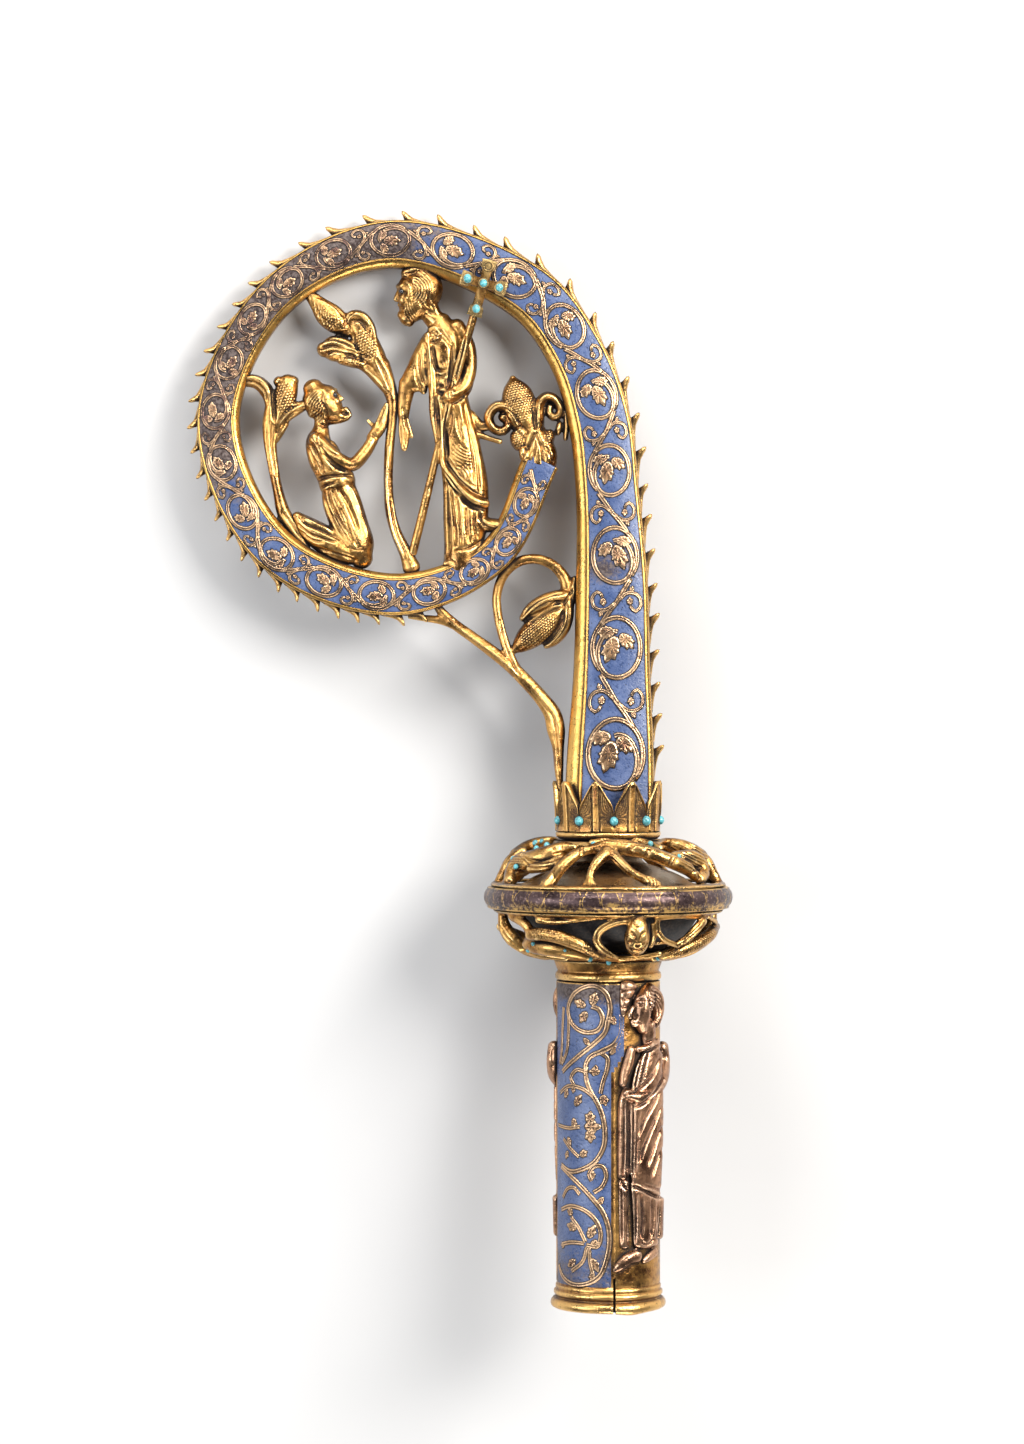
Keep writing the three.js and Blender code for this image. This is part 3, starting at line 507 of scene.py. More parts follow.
# Puts a shape on every point of a mesh, turned by its "ahead" and "up" and sized by its "size"
def setOnPointsTree():
    tree = bpy.data.node_groups.new("setOnPoints", "GeometryNodeTree")
    face = tree.interface
    face.new_socket("Points", in_out="INPUT", socket_type="NodeSocketGeometry")
    face.new_socket("Shape", in_out="INPUT", socket_type="NodeSocketObject")
    face.new_socket("Material", in_out="INPUT", socket_type="NodeSocketMaterial")
    face.new_socket("Unevenness", in_out="INPUT", socket_type="NodeSocketFloat")
    face.new_socket("Seed", in_out="INPUT", socket_type="NodeSocketInt")
    face.new_socket("Geometry", in_out="OUTPUT", socket_type="NodeSocketGeometry")
    given = tree.nodes.new("NodeGroupInput").outputs
    shape = addNode(tree, "GeometryNodeObjectInfo", {"Object": given["Shape"]})

    def named(name, kind):
        return addNode(tree, "GeometryNodeInputNamedAttribute", {"Name": name},
                       data_type=kind).outputs["Attribute"]

    ahead = addNode(tree, "FunctionNodeAlignRotationToVector", {"Vector": named("ahead", "FLOAT_VECTOR")},
                    axis="X")
    facing = addNode(tree, "FunctionNodeAlignRotationToVector",
                     {"Rotation": ahead.outputs[0], "Vector": named("up", "FLOAT_VECTOR")},
                     axis="Z", pivot_axis="X")
    spread = mathNode(tree, "MULTIPLY", given["Unevenness"], -1.0)
    chance = addNode(tree, "FunctionNodeRandomValue",
                     {"Min": spread, "Max": given["Unevenness"], "Seed": given["Seed"]}, data_type="FLOAT")
    for socket, value in ((2, spread), (3, given["Unevenness"])):
        tree.links.new(value, chance.inputs[socket])
    factor = mathNode(tree, "ADD", 1.0, chance.outputs[1])
    size = addNode(tree, "ShaderNodeVectorMath", {0: named("size", "FLOAT_VECTOR")}, operation="SCALE")
    tree.links.new(factor, size.inputs["Scale"])
    points = addNode(tree, "GeometryNodeMeshToPoints", {"Mesh": given["Points"]})
    placed = addNode(tree, "GeometryNodeInstanceOnPoints",
                     {"Points": points.outputs[0], "Instance": shape.outputs["Geometry"],
                      "Rotation": facing.outputs[0], "Scale": size.outputs[0]})
    real = addNode(tree, "GeometryNodeRealizeInstances", {0: placed.outputs[0]})
    painted = addNode(tree, "GeometryNodeSetMaterial", {0: real.outputs[0], "Material": given["Material"]})
    output = tree.nodes.new("NodeGroupOutput")
    tree.links.new(painted.outputs[0], output.inputs[0])
    return tree


setOnPoints = setOnPointsTree()


# Runs a node tree on a piece, keeps the mesh that it makes and drops the modifier
def growNodes(piece, tree, **values):
    modifier = piece.modifiers.new(tree.name, "NODES")
    modifier.node_group = tree
    for item in tree.interface.items_tree:
        if item.in_out == "INPUT" and item.name in values:
            modifier[item.identifier] = values[item.name]
    bpy.context.view_layer.update()
    grown = piece.evaluated_get(bpy.context.evaluated_depsgraph_get())
    mesh = bpy.data.meshes.new_from_object(grown)
    piece.modifiers.clear()
    piece.data = mesh
    return piece


# Copies of one unit shape, at points drawn upright in millimetres
def scatter(name, shape, points, ahead, up, sizes, material, unevenness=0.0, seed=1, smooth=True):
    points = np.asarray(points, float)
    mesh = bpy.data.meshes.new(name)
    mesh.from_pydata(toRow(points).tolist(), [], [])
    piece = newObject(name, mesh)
    sizes = np.broadcast_to(np.asarray(sizes, float).reshape(-1, 1) if np.ndim(sizes) == 1 else sizes,
                            points.shape)
    values = {"ahead": unit(ahead @ turn.T), "up": unit(up @ turn.T), "size": sizes / 1000}
    for key, vectors in values.items():
        attribute = mesh.attributes.new(key, "FLOAT_VECTOR", "POINT")
        attribute.data.foreach_set("vector", np.ascontiguousarray(vectors, np.float32).ravel())
    source = bpy.data.objects.new(name + "_shape", bpy.data.meshes.new(name + "_shape"))
    source.data.from_pydata(shape[0].tolist(), [], shape[1])
    outwardFaces(source.data)
    source.data.polygons.foreach_set("use_smooth", [smooth] * len(source.data.polygons))
    bpy.context.scene.collection.objects.link(source)
    growNodes(piece, setOnPoints, Shape=source, Material=materials[material], Unevenness=unevenness,
              Seed=seed)
    bpy.data.objects.remove(source)
    return piece


def makeCrest():
    starts, lengths = [], []
    distance, last = crest["first"], crookRun[-1] * 0.862
    while distance < last:
        pitchHere = np.interp(distance, *np.array(crestPitches).T)
        starts.append(distance)
        lengths.append(pitchHere)
        distance += pitchHere
    starts, lengths = np.array(starts), np.array(lengths)
    middle, out, half = alongCrook(starts)
    after, outAfter, halfAfter = alongCrook(starts + lengths)
    root = middle + out * half[:, None]
    ahead = after + outAfter * halfAfter[:, None] - root
    sizes = np.stack([np.linalg.norm(ahead, axis=1), np.full(len(starts), crest["width"]),
                      np.full(len(starts), crest["rise"])], -1)
    piece = scatter("crest", crocketPoints(), root, unit(ahead), out, sizes, "gilt", 0.06, 7)
    return finishPiece(piece, "gilt", "crook")


makeCrest()

# Vine of reserved metal in the enamel, each stem and leaf on a dark rim that is a little wider

vine = {"lift": 0.18, "rimLift": 0.07, "bury": 0.4, "groove": 0.17, "rim": 0.42, "pitch": 3.25}
ribbonProfile = [(-1, -vine["bury"]), (-0.93, vine["lift"] * 0.75), (-0.42, vine["lift"]),
                 (0, vine["lift"] - vine["groove"]), (0.42, vine["lift"]), (0.93, vine["lift"] * 0.75),
                 (1, -vine["bury"])]
rimProfile = [(-1, -vine["bury"]), (-0.9, vine["rimLift"]), (0.9, vine["rimLift"]), (1, -vine["bury"])]


# Stem with a line cut along its middle, or its rim. onto takes u, v and a height to a point on the surface
def ribbon(line, width, onto, rim=0.0, taper=0.0):
    line = np.asarray(line, float)[:, :2]
    along = unit(np.gradient(line, axis=0))
    side = np.stack([-along[:, 1], along[:, 0]], -1)
    widths = width * (1 - taper * np.linspace(0, 1, len(line)) ** 2) + rim
    rings = []
    for share, lift in rimProfile if rim else ribbonProfile:
        flat = line + side * (share * widths / 2)[:, None]
        rings.append(onto(flat[:, 0], flat[:, 1], np.full(len(flat), lift)))
    return skin(np.stack(rings, 1))


def flatCurve(stops, count=13):
    return routeThrough([(u, v, 0) for u, v in stops], count)[:, :2]


# Leaf with a scalloped edge and veins, from its foot towards a heading in degrees
def leaf(foot, heading, length, breadth, onto, rim=0.0, lobes=5, scallop=0.15):
    angle = circle(40)
    reach = 1 / np.sqrt((np.cos(angle) * 2 / length) ** 2 + (np.sin(angle) * 2 / breadth) ** 2)
    edge = np.clip(np.cos(angle) + 0.75, 0, 1)
    reach = reach * (1 + scallop * edge * np.cos(lobes * 2 * angle)) * (0.84 + 0.16 * np.cos(angle)) + rim / 2
    vein = 0.5 - 0.5 * np.cos(lobes * 2 * angle)
    cut, lift, bury = vine["groove"] * 0.9, vine["lift"], -vine["bury"]
    levels = [(1.0, bury, 0), (0.93, lift * 0.7, 0), (0.72, lift, 0.7), (0.35, lift, 1.0),
              (0.06, lift * 0.6, 0)]
    if rim:
        levels = [(1.0, bury, 0), (0.95, vine["rimLift"], 0), (0.3, vine["rimLift"], 0)]
    rings = []
    h = math.radians(heading)
    for share, height, depth in levels:
        along = length * 0.48 + reach * share * np.cos(angle)
        across = reach * share * np.sin(angle)
        u = foot[0] + along * math.cos(h) - across * math.sin(h)
        v = foot[1] + along * math.sin(h) + across * math.cos(h)
        rings.append(onto(u, v, height - cut * depth * vein))
    return skin(np.stack(rings))


# One turn of the vine, one unit being half the panel's width: a round that winds in and opens in a leaf of
# three lobes, the stem to the next round and a curl in each corner between them
def vineCell(onto, number, half, rim):
    stem, thin = (0.55 + 0.085 * half) / half, (0.42 + 0.06 * half) / half
    edge = rim / half
    turns = np.linspace(0, 1, 44)
    angle = math.radians(222) + turns * 2 * math.pi * 1.40
    reach = np.interp(turns, [0, 0.68, 0.84, 1], [1, 1, 0.70, 0.52])
    wound = np.stack([1.06 * reach * np.cos(angle), 0.85 * reach * np.sin(angle)], -1)
    hub = wound[-1]
    parts = [ribbon(wound, stem, onto, edge)]
    inward = math.degrees(math.atan2(-hub[1], -hub[0])) + (number * 37) % 40 - 20
    for lean, length, breadth in ((0, 1.14, 0.66), (66, 0.74, 0.50), (-66, 0.78, 0.52)):
        parts.append(leaf(hub, inward + lean, length, breadth, onto, edge))
    across = flatCurve([(0.78, -0.58), (1.22, -0.30), (1.62, 0.02), (2.02, 0.28), (2.42, 0.55)])
    parts.append(ribbon(across, stem, onto, edge))
    for way in (1, -1):
        curl = [(1.62 - 0.05 * way, 0.02 - 0.06 * way), (1.62 - 0.30 * way, -0.42 * way),
                (1.62 - 0.20 * way, -0.80 * way), (1.62 + 0.16 * way, -0.88 * way),
                (1.62 + 0.36 * way, -0.66 * way), (1.62 + 0.16 * way, -0.50 * way)]
        parts.append(ribbon(flatCurve(curl), thin, onto, edge, 0.25))
        parts.append(leaf(curl[-1], 175 if way > 0 else -5, 0.30, 0.24, onto, edge, 3))
        parts.append(leaf((1.62 - 0.28 * way, -0.5 * way), 205 if way > 0 else 25, 0.26, 0.17, onto, edge,
                          3))
    return parts


def makeCrookVine(name, material, rim):
    parts, losses = [], []
    for face in (1, -1):
        distance, number = 21.5, 0
        while distance < crookRun[-1] - 3:
            half = alongCrook(distance)[2] * (crook["panelOut"] - crook["panelIn"]) / 2
            mirror = 1 if number % 2 else -1

            def onto(u, v, lift, start=distance, scale=half, side=mirror):
                reach = np.clip(start + u * scale, 2, crookRun[-1] - 0.3)
                return onPanel(reach, np.clip(v * side, -0.985, 0.985), lift, face)

            cell = vineCell(onto, number, half, rim)
            parts += cell
            losses += [lossAlongCrook(distance)] * sum(len(points) for points, _ in cell)
            distance += vine["pitch"] * half
            number += 1
    points, faces = joinSkins(parts)
    piece = makePiece(name, points, faces, material)
    addValues(piece, "lost", losses)
    return finishPiece(piece, "gilt", "crook")


makeCrookVine("crook_vine", "reserve", 0.0)
makeCrookVine("crook_vine_rim", "darkJointAndShade", vine["rim"])

# Socket

socket = {"radius": 14.5, "bore": 12.6, "top": 91, "around": 200, "panelStart": -90, "panelEnd": 2,
          "slit": (1.0, 1.7, 9.5)}
socketProfile = [(socket["bore"], 0.2), (13.4, -0.1), (15.2, -0.15), (15.9, 0.3), (16.15, 1), (16, 1.8),
                 (15.5, 2.45), (14.75, 2.75), (14.6, 3), (14.9, 3.4), (15.25, 3.9), (15.2, 4.6), (14.75, 5),
                 (14.6, 5.15), (14.72, 5.5), (14.7, 6.2), (14.45, 6.5), (14.3, 6.7)]


def turnRings(profile, around):
    angle = circle(around)
    return np.array([[(r * math.sin(a), y, r * math.cos(a)) for r, y in profile] for a in angle])


# Closed ring turned about the socket's axis
def turnedSkin(profile, around=160):
    rings = turnRings(profile, around)
    n, m = rings.shape[:2]
    row, column = np.arange(n)[:, None], np.arange(m)
    quads = np.stack([row * m + column, row * m + (column + 1) % m, ((row + 1) % n) * m + (column + 1) % m,
                      ((row + 1) % n) * m + column], -1)
    return rings.reshape(-1, 3), quads.reshape(-1, 4).tolist()


def cutAway(piece, name, low, high):
    corners = np.array([[(low, high)[i >> k & 1][k] for k in range(3)] for i in range(8)], float)
    sides = [(0, 1, 3, 2), (4, 5, 7, 6), (0, 1, 5, 4), (2, 3, 7, 6), (0, 2, 6, 4), (1, 3, 7, 5)]
    cutter = makePiece(name, corners, sides, "gilt", False)
    cut = piece.modifiers.new("cut", "BOOLEAN")
    cut.operation = "DIFFERENCE"
    cut.object = cutter
    bpy.context.view_layer.update()
    evaluated = piece.evaluated_get(bpy.context.evaluated_depsgraph_get())
    mesh = bpy.data.meshes.new_from_object(evaluated)
    piece.modifiers.clear()
    piece.data = mesh
    bpy.data.objects.remove(cutter)


def onSocket(u, v, lift, turnBy=0.0):
    angle = u / socket["radius"] + math.radians(turnBy)
    reach = socket["radius"] - 0.12 + lift
    return np.stack([reach * np.sin(angle), v + 0 * angle, reach * np.cos(angle)], -1)


def isPanel(degrees, y):
    end = socket["panelEnd"] + float(np.interp(y, [66, 72], [0, 15]))
    return (degrees - socket["panelStart"]) % 180 < end - socket["panelStart"]


def makeSocket():
    profile = [*socketProfile, *[(14.38, y) for y in np.linspace(7.0, 90.6, 60)], (14.3, socket["top"]),
               (socket["bore"], socket["top"])]
    points, faces = turnedSkin(profile, socket["around"])
    degrees = np.degrees(np.arctan2(points[:, 0], points[:, 2]))
    outside = (np.hypot(points[:, 0], points[:, 2]) > 14.2) & (points[:, 1] > 6.8)
    strip = ~np.array([isPanel(d, 0) for d in degrees])
    edge = np.minimum((degrees - 2) % 90, (-degrees + 2) % 90) / 180 * math.pi * socket["radius"]
    lift = np.where(strip, 0.16, 0.0) - 0.45 * np.exp(-((edge - 0.5) / 0.55) ** 2)
    radial = unit(points * [1, 0, 1])
    points = points + radial * (lift * outside)[:, None]
    dip = np.exp(-(((points[:, 0] - 6) / 3.5) ** 2)) * np.clip(points[:, 2], 0,
                                                               1) * np.clip(1.6 - points[:, 1], 0, 1)
    points[:, 1] -= 0.5 * dip
    piece = makePiece("socket_tube", points, faces, "gilt")
    piece.data.materials.append(materials["enamel"])
    piece.data.materials.append(materials["darkJointAndShade"])
    centres = np.array([points[list(face)].mean(0) for face in faces])
    angle = np.degrees(np.arctan2(centres[:, 0], centres[:, 2]))
    reach = np.hypot(centres[:, 0], centres[:, 2])
    kinds = [int(isPanel(a, y) and r > 13.6 and 6.9 < y < 90.8) for a, r,
             y in zip(angle, reach, centres[:, 1])]
    # Painted shade: the inner faces of the tube get the near-black fill
    kinds = np.where(reach < 13.0, 2, kinds)
    piece.data.polygons.foreach_set("material_index", kinds)
    worn = np.clip((points[:, 1] - 82) / 9, 0, 1) * 0.7 + np.clip((30 - points[:, 1]) / 60, 0, 0.3) + 0.12
    addValues(piece, "lost", worn)
    low, high, up = socket["slit"]
    cutAway(piece, "slit", (low, -3, 12.9), (high, up, 20))
    return finishPiece(piece, "enamel", "socket")


# The scroll on one panel, in millimetres as it is seen from the front: across and up
scrollStems = [
    (1.3, [(-0.4, 80.6), (0.2, 84), (-0.8, 88), (-3.6, 90.2), (-6.6, 90), (-10, 87.6), (-11.4, 83.4),
           (-10.2, 79.4), (-6.6, 77.4), (-3.2, 78.2), (-1.9, 81), (-3, 83.8), (-5, 84.6)]),
    (1.3, [(-0.4, 81), (-1.2, 77.6), (-3.6, 75), (-6.4, 72.6), (-10.2, 69.2), (-12.9, 66)]),
    (1.1, [(-11.2, 82), (-11.3, 77), (-11.7, 72), (-12.8, 68.6)]),
    (1.1, [(-12.6, 84), (-12.9, 78), (-13.2, 71), (-13.6, 68)]),
    (1.3, [(3.2, 82.4), (2.9, 77.1), (1.3, 74.2), (-2.2, 72.3), (-5.4, 70.6), (-6.6, 68), (-6.5, 65.4)]),
    (1.1, [(-2.4, 71.8), (-0.6, 70.4), (-0.7, 67.4), (-1.8, 63.8), (-2.5, 60.6)]),
    (1.3, [(-6.5, 68), (-6.4, 64.4), (-5.2, 61), (-3.4, 58), (-2, 54.6), (-1.3, 50.6), (-1.6, 46),
           (-3.8, 42), (-7.2, 39.6), (-10.6, 38.6), (-13.2, 40)]),
    (1.1, [(-6.2, 66.4), (-9, 66.9), (-10.6, 64.6), (-9.8, 62.6)]),
    (1.1, [(-4.2, 59.6), (-7.6, 61.8), (-11.2, 62.2), (-13.5, 60)]),
    (1, [(-14, 50.9), (-11, 50.6), (-8.2, 51.2)]),
    (1, [(-12.6, 47.4), (-10.6, 44.8), (-8.4, 42.8)]),
    (1.3, [(-13.2, 39.6), (-11.2, 37.8), (-7.9, 34.8), (-4.8, 31.6), (-2, 28.1), (-0.4, 24), (0, 19.6),
           (-0.9, 14.4), (-2.6, 10.4), (-6, 8), (-10, 7.4), (-12.9, 9.2), (-13.9, 12)]),
    (1.1, [(-4.4, 33.2), (-2, 35), (-0.9, 37.8), (-1.9, 40.4), (-4.2, 40.4), (-5.6, 38.2), (-5, 36.4)]),
    (1, [(-12.8, 31), (-11.6, 33.6), (-9.8, 34.2), (-8.2, 32.4)]),
    (1.2, [(-13.2, 27.6), (-10.4, 29), (-6.6, 28), (-3.6, 25.2), (-2.4, 21.4), (-3.4, 18.4), (-6.4, 18.6)]),
    (1.1, [(-6.6, 19.4), (-8.6, 23.4), (-10.6, 26)]), (1.1, [(-7, 19), (-10.4, 19), (-13, 18)]),
    (1.1, [(-6.2, 18), (-7.4, 14), (-10.4, 11)]), (1, [(-5.6, 18), (-5.4, 14), (-4.6, 10.6)]),
]
scrollLeaves = [
    (-5.2, 84.4, 70, 4.4, 3), (-6, 84.4, 160, 4.6, 2.8), (-6, 83.6, 235, 4.2, 2.8),
                (2.4, 79.6, 140, 3.4, 2.2),
    (3.4, 79.4, -72, 5, 2.2), (3.9, 75.2, 225, 5.2, 2.2), (-7.4, 76.2, -48, 3.4, 1.7),
                (-13.2, 71, -80, 3.2, 1.8),
    (-2.2, 66.6, 180, 3.6, 2.4), (-3.8, 66.6, 90, 1.8, 1.4), (-2.2, 60.6, -70, 3.4, 2.8),
                (-9.8, 62.6, -100, 2.2, 1.6),
    (-12.4, 58.4, 62, 3.4, 2), (-9.8, 56.4, 55, 4.4, 2.6), (-10, 54, -80, 3.6, 2.2),
                (-7.6, 51.4, 0, 5.6, 3.6),
    (-5.6, 51.6, 84, 4, 3.4), (-5.6, 51, -84, 4, 3.4), (-11.6, 48.4, -60, 3, 1.8), (-8.4, 43, 30, 3, 2.4),
    (-11.4, 44.6, -110, 2.8, 1.6), (-5, 36.6, 80, 2.6, 2), (-1.6, 32.4, -120, 3, 1.8),
                (-10.4, 26, 115, 2.8, 2.4),
    (-8.6, 22.8, 168, 4.4, 2.8), (-6.2, 20, 60, 4.8, 2.8), (-5.6, 18.8, 10, 3, 2.4),
                (-12.2, 18, 190, 2.2, 2),
    (-9, 14.6, 215, 4.2, 2.4), (-5.4, 15.6, -60, 4.8, 2.6), (-4.6, 11.4, -100, 2.6, 2),
]


def makeSocketVine(name, material, rim):
    def onto(u, v, lift):
        return onSocket(u, v, lift, turnBy)

    def round_(x):
        return socket["radius"] * math.asin(max(-0.995, min(x / socket["radius"], 0.995)))

    parts = []
    for turnBy in (0, 180):
        for width, stops in scrollStems:
            line = flatCurve([(round_(x), y) for x, y in stops], 8 * len(stops))
            parts.append(ribbon(line, width, onto, rim))
        for x, y, heading, length, breadth in scrollLeaves:
            parts.append(leaf((round_(x), y), heading, length, breadth, onto, rim, 3))
    points, faces = joinSkins(parts)
    piece = makePiece(name, points, faces, material)
    addValues(piece, "lost", np.zeros(len(points)))
    return finishPiece(piece, "gilt", "socket")


makeSocket()
makeSocketVine("socket_vine", "reserve", 0.0)
makeSocketVine("socket_vine_rim", "darkJointAndShade", vine["rim"])

# Plain turned pieces


def makeTurned(name, profile, material, slot, node, around=160):
    points, faces = turnedSkin(profile, around)
    return finishPiece(makePiece(name, points, faces, material), slot, node)


makeTurned("neck_ring", [(6, 91.3), (14.3, 91.3), (14.75, 91.7), (14.85, 92.5), (14.7, 93.2), (14.3, 93.6),
                         (14.15, 94.0), (14.4, 94.4), (14.75, 95.4), (15.05, 96.3), (15.25, 96.8),
                         (15.1, 97.0), (6, 97.0)], "gilt", "gilt", "neck_ring")
makeTurned("collar_flange", [(6, 130.5), (13.6, 130.5), (14.4, 131.2), (14.75, 131.9), (14.6, 132.5),
                             (14.2, 132.6), (6, 132.6)], "gilt", "gilt", "collar_flange")

# Carving tools: limbs are melted into one body, which is then cut with strokes

carving = {"grain": 0.27, "softening": 4, "reach": 1.9, "bare": 0.25}


# Limbs melted together on an even grain, with the normals of the result, in upright millimetres
def melt(parts, grain=carving["grain"], softening=carving["softening"]):
    points, faces = joinSkins(parts)
    mesh = bpy.data.meshes.new("melt")
    mesh.from_pydata(points.tolist(), [], faces)
    outwardFaces(mesh)
    piece = newObject("melt", mesh)
    remesh = piece.modifiers.new("melt", "REMESH")
    remesh.mode = "VOXEL"
    remesh.voxel_size = grain
    soft = piece.modifiers.new("soften", "SMOOTH")
    soft.factor = 0.5
    soft.iterations = softening
    bpy.context.view_layer.update()
    melted = bpy.data.meshes.new_from_object(piece.evaluated_get(bpy.context.evaluated_depsgraph_get()))
    points = np.array([v.co for v in melted.vertices])
    normals = np.array([n.vector for n in melted.vertex_normals])
    faces = [tuple(p.vertices) for p in melted.polygons]
    bpy.data.objects.remove(piece)
    return points, normals, faces


# Strokes of one width and depth. A depth below 0 cuts
def tool(width, depth, *lines):
    return [(width, depth, line) for line in lines]


# Height of strokes drawn on a flat picture of the piece
def strokeLift(flat, strokes):
    high, low = np.zeros(len(flat)), np.zeros(len(flat))
    for width, depth, stops in strokes:
        line = np.array(stops, float) if len(stops) == 2 else flatCurve(stops, 6 * len(stops))
        reach = 2.2 * width
        near = np.flatnonzero(np.all((flat > line.min(0) - reach) & (flat < line.max(0) + reach), axis=1))
        spot = flat[near]
        away, share = np.full(len(near), 1e9), np.zeros(len(near))
        for k, (a, b) in enumerate(zip(line, line[1:])):
            t = np.clip((spot - a) @ (b - a) / max((b - a) @ (b - a), 1e-9), 0, 1)
            gap = np.hypot(*(spot - a - t[:, None] * (b - a)).T)
            closer = gap < away
            away[closer], share[closer] = gap[closer], (k + t[closer]) / (len(line) - 1)
        value = depth * np.exp(-((away / width) ** 2)) * np.minimum(1, 0.35 + 5 * share * (1 - share))
        target, keep = (high, np.maximum) if depth > 0 else (low, np.minimum)
        target[near] = keep(target[near], value)
    return high + low


def within(flat, centre, sizes, turnBy):
    c, s = math.cos(math.radians(turnBy)), math.sin(math.radians(turnBy))
    local = (flat - centre) @ np.array([[c, -s], [s, c]])
    return local, np.clip((1 - np.hypot(*(local / sizes).T)) * 4, 0, 1)


# Fine cuts side by side in an oval: rings round a focus, or lines along the oval
def hatchLift(flat, centre, sizes, turnBy, pitch, depth, focus=None):
    local, inside = within(flat, centre, sizes, turnBy)
    run = local[:, 1] if focus is None else np.hypot(*(flat - focus).T)
    return -depth * inside * (0.5 + 0.5 * np.cos(2 * math.pi * run / pitch))


# Staggered scales in an oval
def scaleLift(flat, centre, sizes, turnBy, pitch, depth):
    local, inside = within(flat, centre, sizes, turnBy)
    v = local[:, 1] / (pitch * 0.8)
    u = local[:, 0] / pitch + 0.5 * (np.floor(v) % 2)
    dome = np.clip(1 - ((u % 1 - 0.5) ** 2 + (v % 1 - 0.5) ** 2) * 3.4, 0, 1) ** 0.5
    return depth * inside * (dome - 0.7)


def egg(centre, sizes, turnBy=0, sides=16):
    t = np.linspace(-0.995, 0.995, 13)
    a, b, c = sizes
    angle = circle(sides)
    wide = np.sqrt(1 - t**2)[:, None]
    rings = np.stack([a * wide * np.sin(angle), b * t[:, None] + 0 * angle, c * wide * np.cos(angle)], -1)
    h = math.radians(turnBy)
    spin = np.array([[math.cos(h), math.sin(h), 0], [-math.sin(h), math.cos(h), 0], [0, 0, 1]])
    return skin(rings @ spin + np.array(centre, float))


def bothFaces(stops, **options):
    return [limb([(x, y, side * z, *size) for x, y, z, *size in stops], **options) for side in (1, -1)]


# How far strokes and patterns push the skin, fading where it turns away from the tool
def carvedLift(flat, strokes, patterns, facing):
    lift = strokeLift(flat, strokes)
    for pattern, *values in patterns:
        lift = lift + pattern(flat, *values)
    return lift * np.clip(facing * carving["reach"] - carving["bare"], 0, 1)


# Limb in the middle plane, with stops of x, y, half width and half depth
def flatLimb(stops, **options):
    return limb([(x, y, 0, *size) for x, y, *size in stops], **options)


# Pushes the skin of a melted body in and out, on its front and its back, and makes the piece
def carvedPiece(name, parts, strokes, patterns, slot, nodes, material="figureGilt", **melting):
    points, normals, faces = melt(parts, **melting)
    lift = carvedLift(points[:, :2], strokes, patterns, np.abs(normals[:, 2]))
    points = points + normals * lift[:, None]
    return finishPiece(makePiece(name, points, faces, material), slot, *nodes)


# A head in profile. Lengths are eighths of its height, x runs towards the face
head = {
    "cranium": [(-0.75, 3.5, 0, 1.9, 1.8), (-0.7, 2.3, 0, 3.0, 2.5), (-0.45, 0.8, 0, 3.3, 2.75),
                (0.1, -0.8, 0, 2.75, 2.4), (0.75, -2.2, 0, 2.0, 1.9), (1.2, -3.1, 0, 1.3, 1.3)],
    "brow": [(2.1, 1.25, -1.5, 0.4), (2.65, 1.35, 0, 0.45), (2.1, 1.25, 1.5, 0.4)],
    "nose": [(2.4, 1.15, 0, 0.36, 0.34), (2.72, 0.2, 0, 0.38, 0.38), (2.92, -0.5, 0, 0.42, 0.5)],
    "upperLip": [(2.05, -1.3, -0.7, 0.24), (2.5, -1.25, 0, 0.34), (2.05, -1.3, 0.7, 0.24)],
    "lowerLip": [(2.0, -1.85, -0.6, 0.22), (2.4, -1.85, 0, 0.34), (2.0, -1.85, 0.6, 0.22)],
    "chin": [(1.4, -2.6, 0, 0.95, 1.1), (2.0, -2.7, 0, 0.78, 0.85)],
    "eye": (2.15, 0.52, 1.5),
}


def headPlace(middle, height, towards, tilt):
    h = math.radians(tilt)

    def place(points):
        points = np.asarray(points, float) * height / 8
        x = points[..., 0] * math.cos(h) - points[..., 1] * math.sin(h)
        y = points[..., 0] * math.sin(h) + points[..., 1] * math.cos(h)
        return np.stack([middle[0] + towards * x, middle[1] + y, points[..., 2]], -1)

    return place


def headParts(middle, height, towards, tilt):
    place = headPlace(middle, height, towards, tilt)
    parts = [limb(head[key], step=0.25) for key in ("cranium", "brow", "nose", "upperLip", "lowerLip",
                                                    "chin")]
    parts += [egg((1.75, -0.6, side * 1.15), (0.8, 0.9, 0.8)) for side in (1, -1)]
    return [(place(points), faces) for points, faces in parts]


def makeEyes(name, middle, height, towards, tilt, slot):
    place = headPlace(middle, height, towards, tilt)
    x, y, z = head["eye"]
    spots = place([(x, y, z), (x, y, -z)])
    points, faces = joinSkins([egg(spot, (0.72, 0.62, 0.66)) for spot in spots])
    return finishPiece(makePiece(name, points, faces, "darkGlass"), slot)


# Saint with a cross staff

saint = {"head": (-53.6, 282.2), "height": 15.6, "tilt": 2}
saintRobe = [(-41.6, 206.6, 0, 4.6, 4.4), (-40.6, 212, 0, 5.4, 4.6), (-39.9, 220, 0, 6.3, 4.7),
             (-39.9, 229, 0, 6.4, 4.6), (-41, 237, 0, 6, 4.4), (-42.2, 245, 0, 5.3, 4.2),
             (-43.6, 252, 0, 4.8, 4), (-44.6, 259, 0, 4.9, 4.2), (-45.3, 266, 0, 5.6, 4.6),
             (-46, 271.2, 0, 5.6, 4.2), (-47.2, 275, 0, 3.4, 3)]


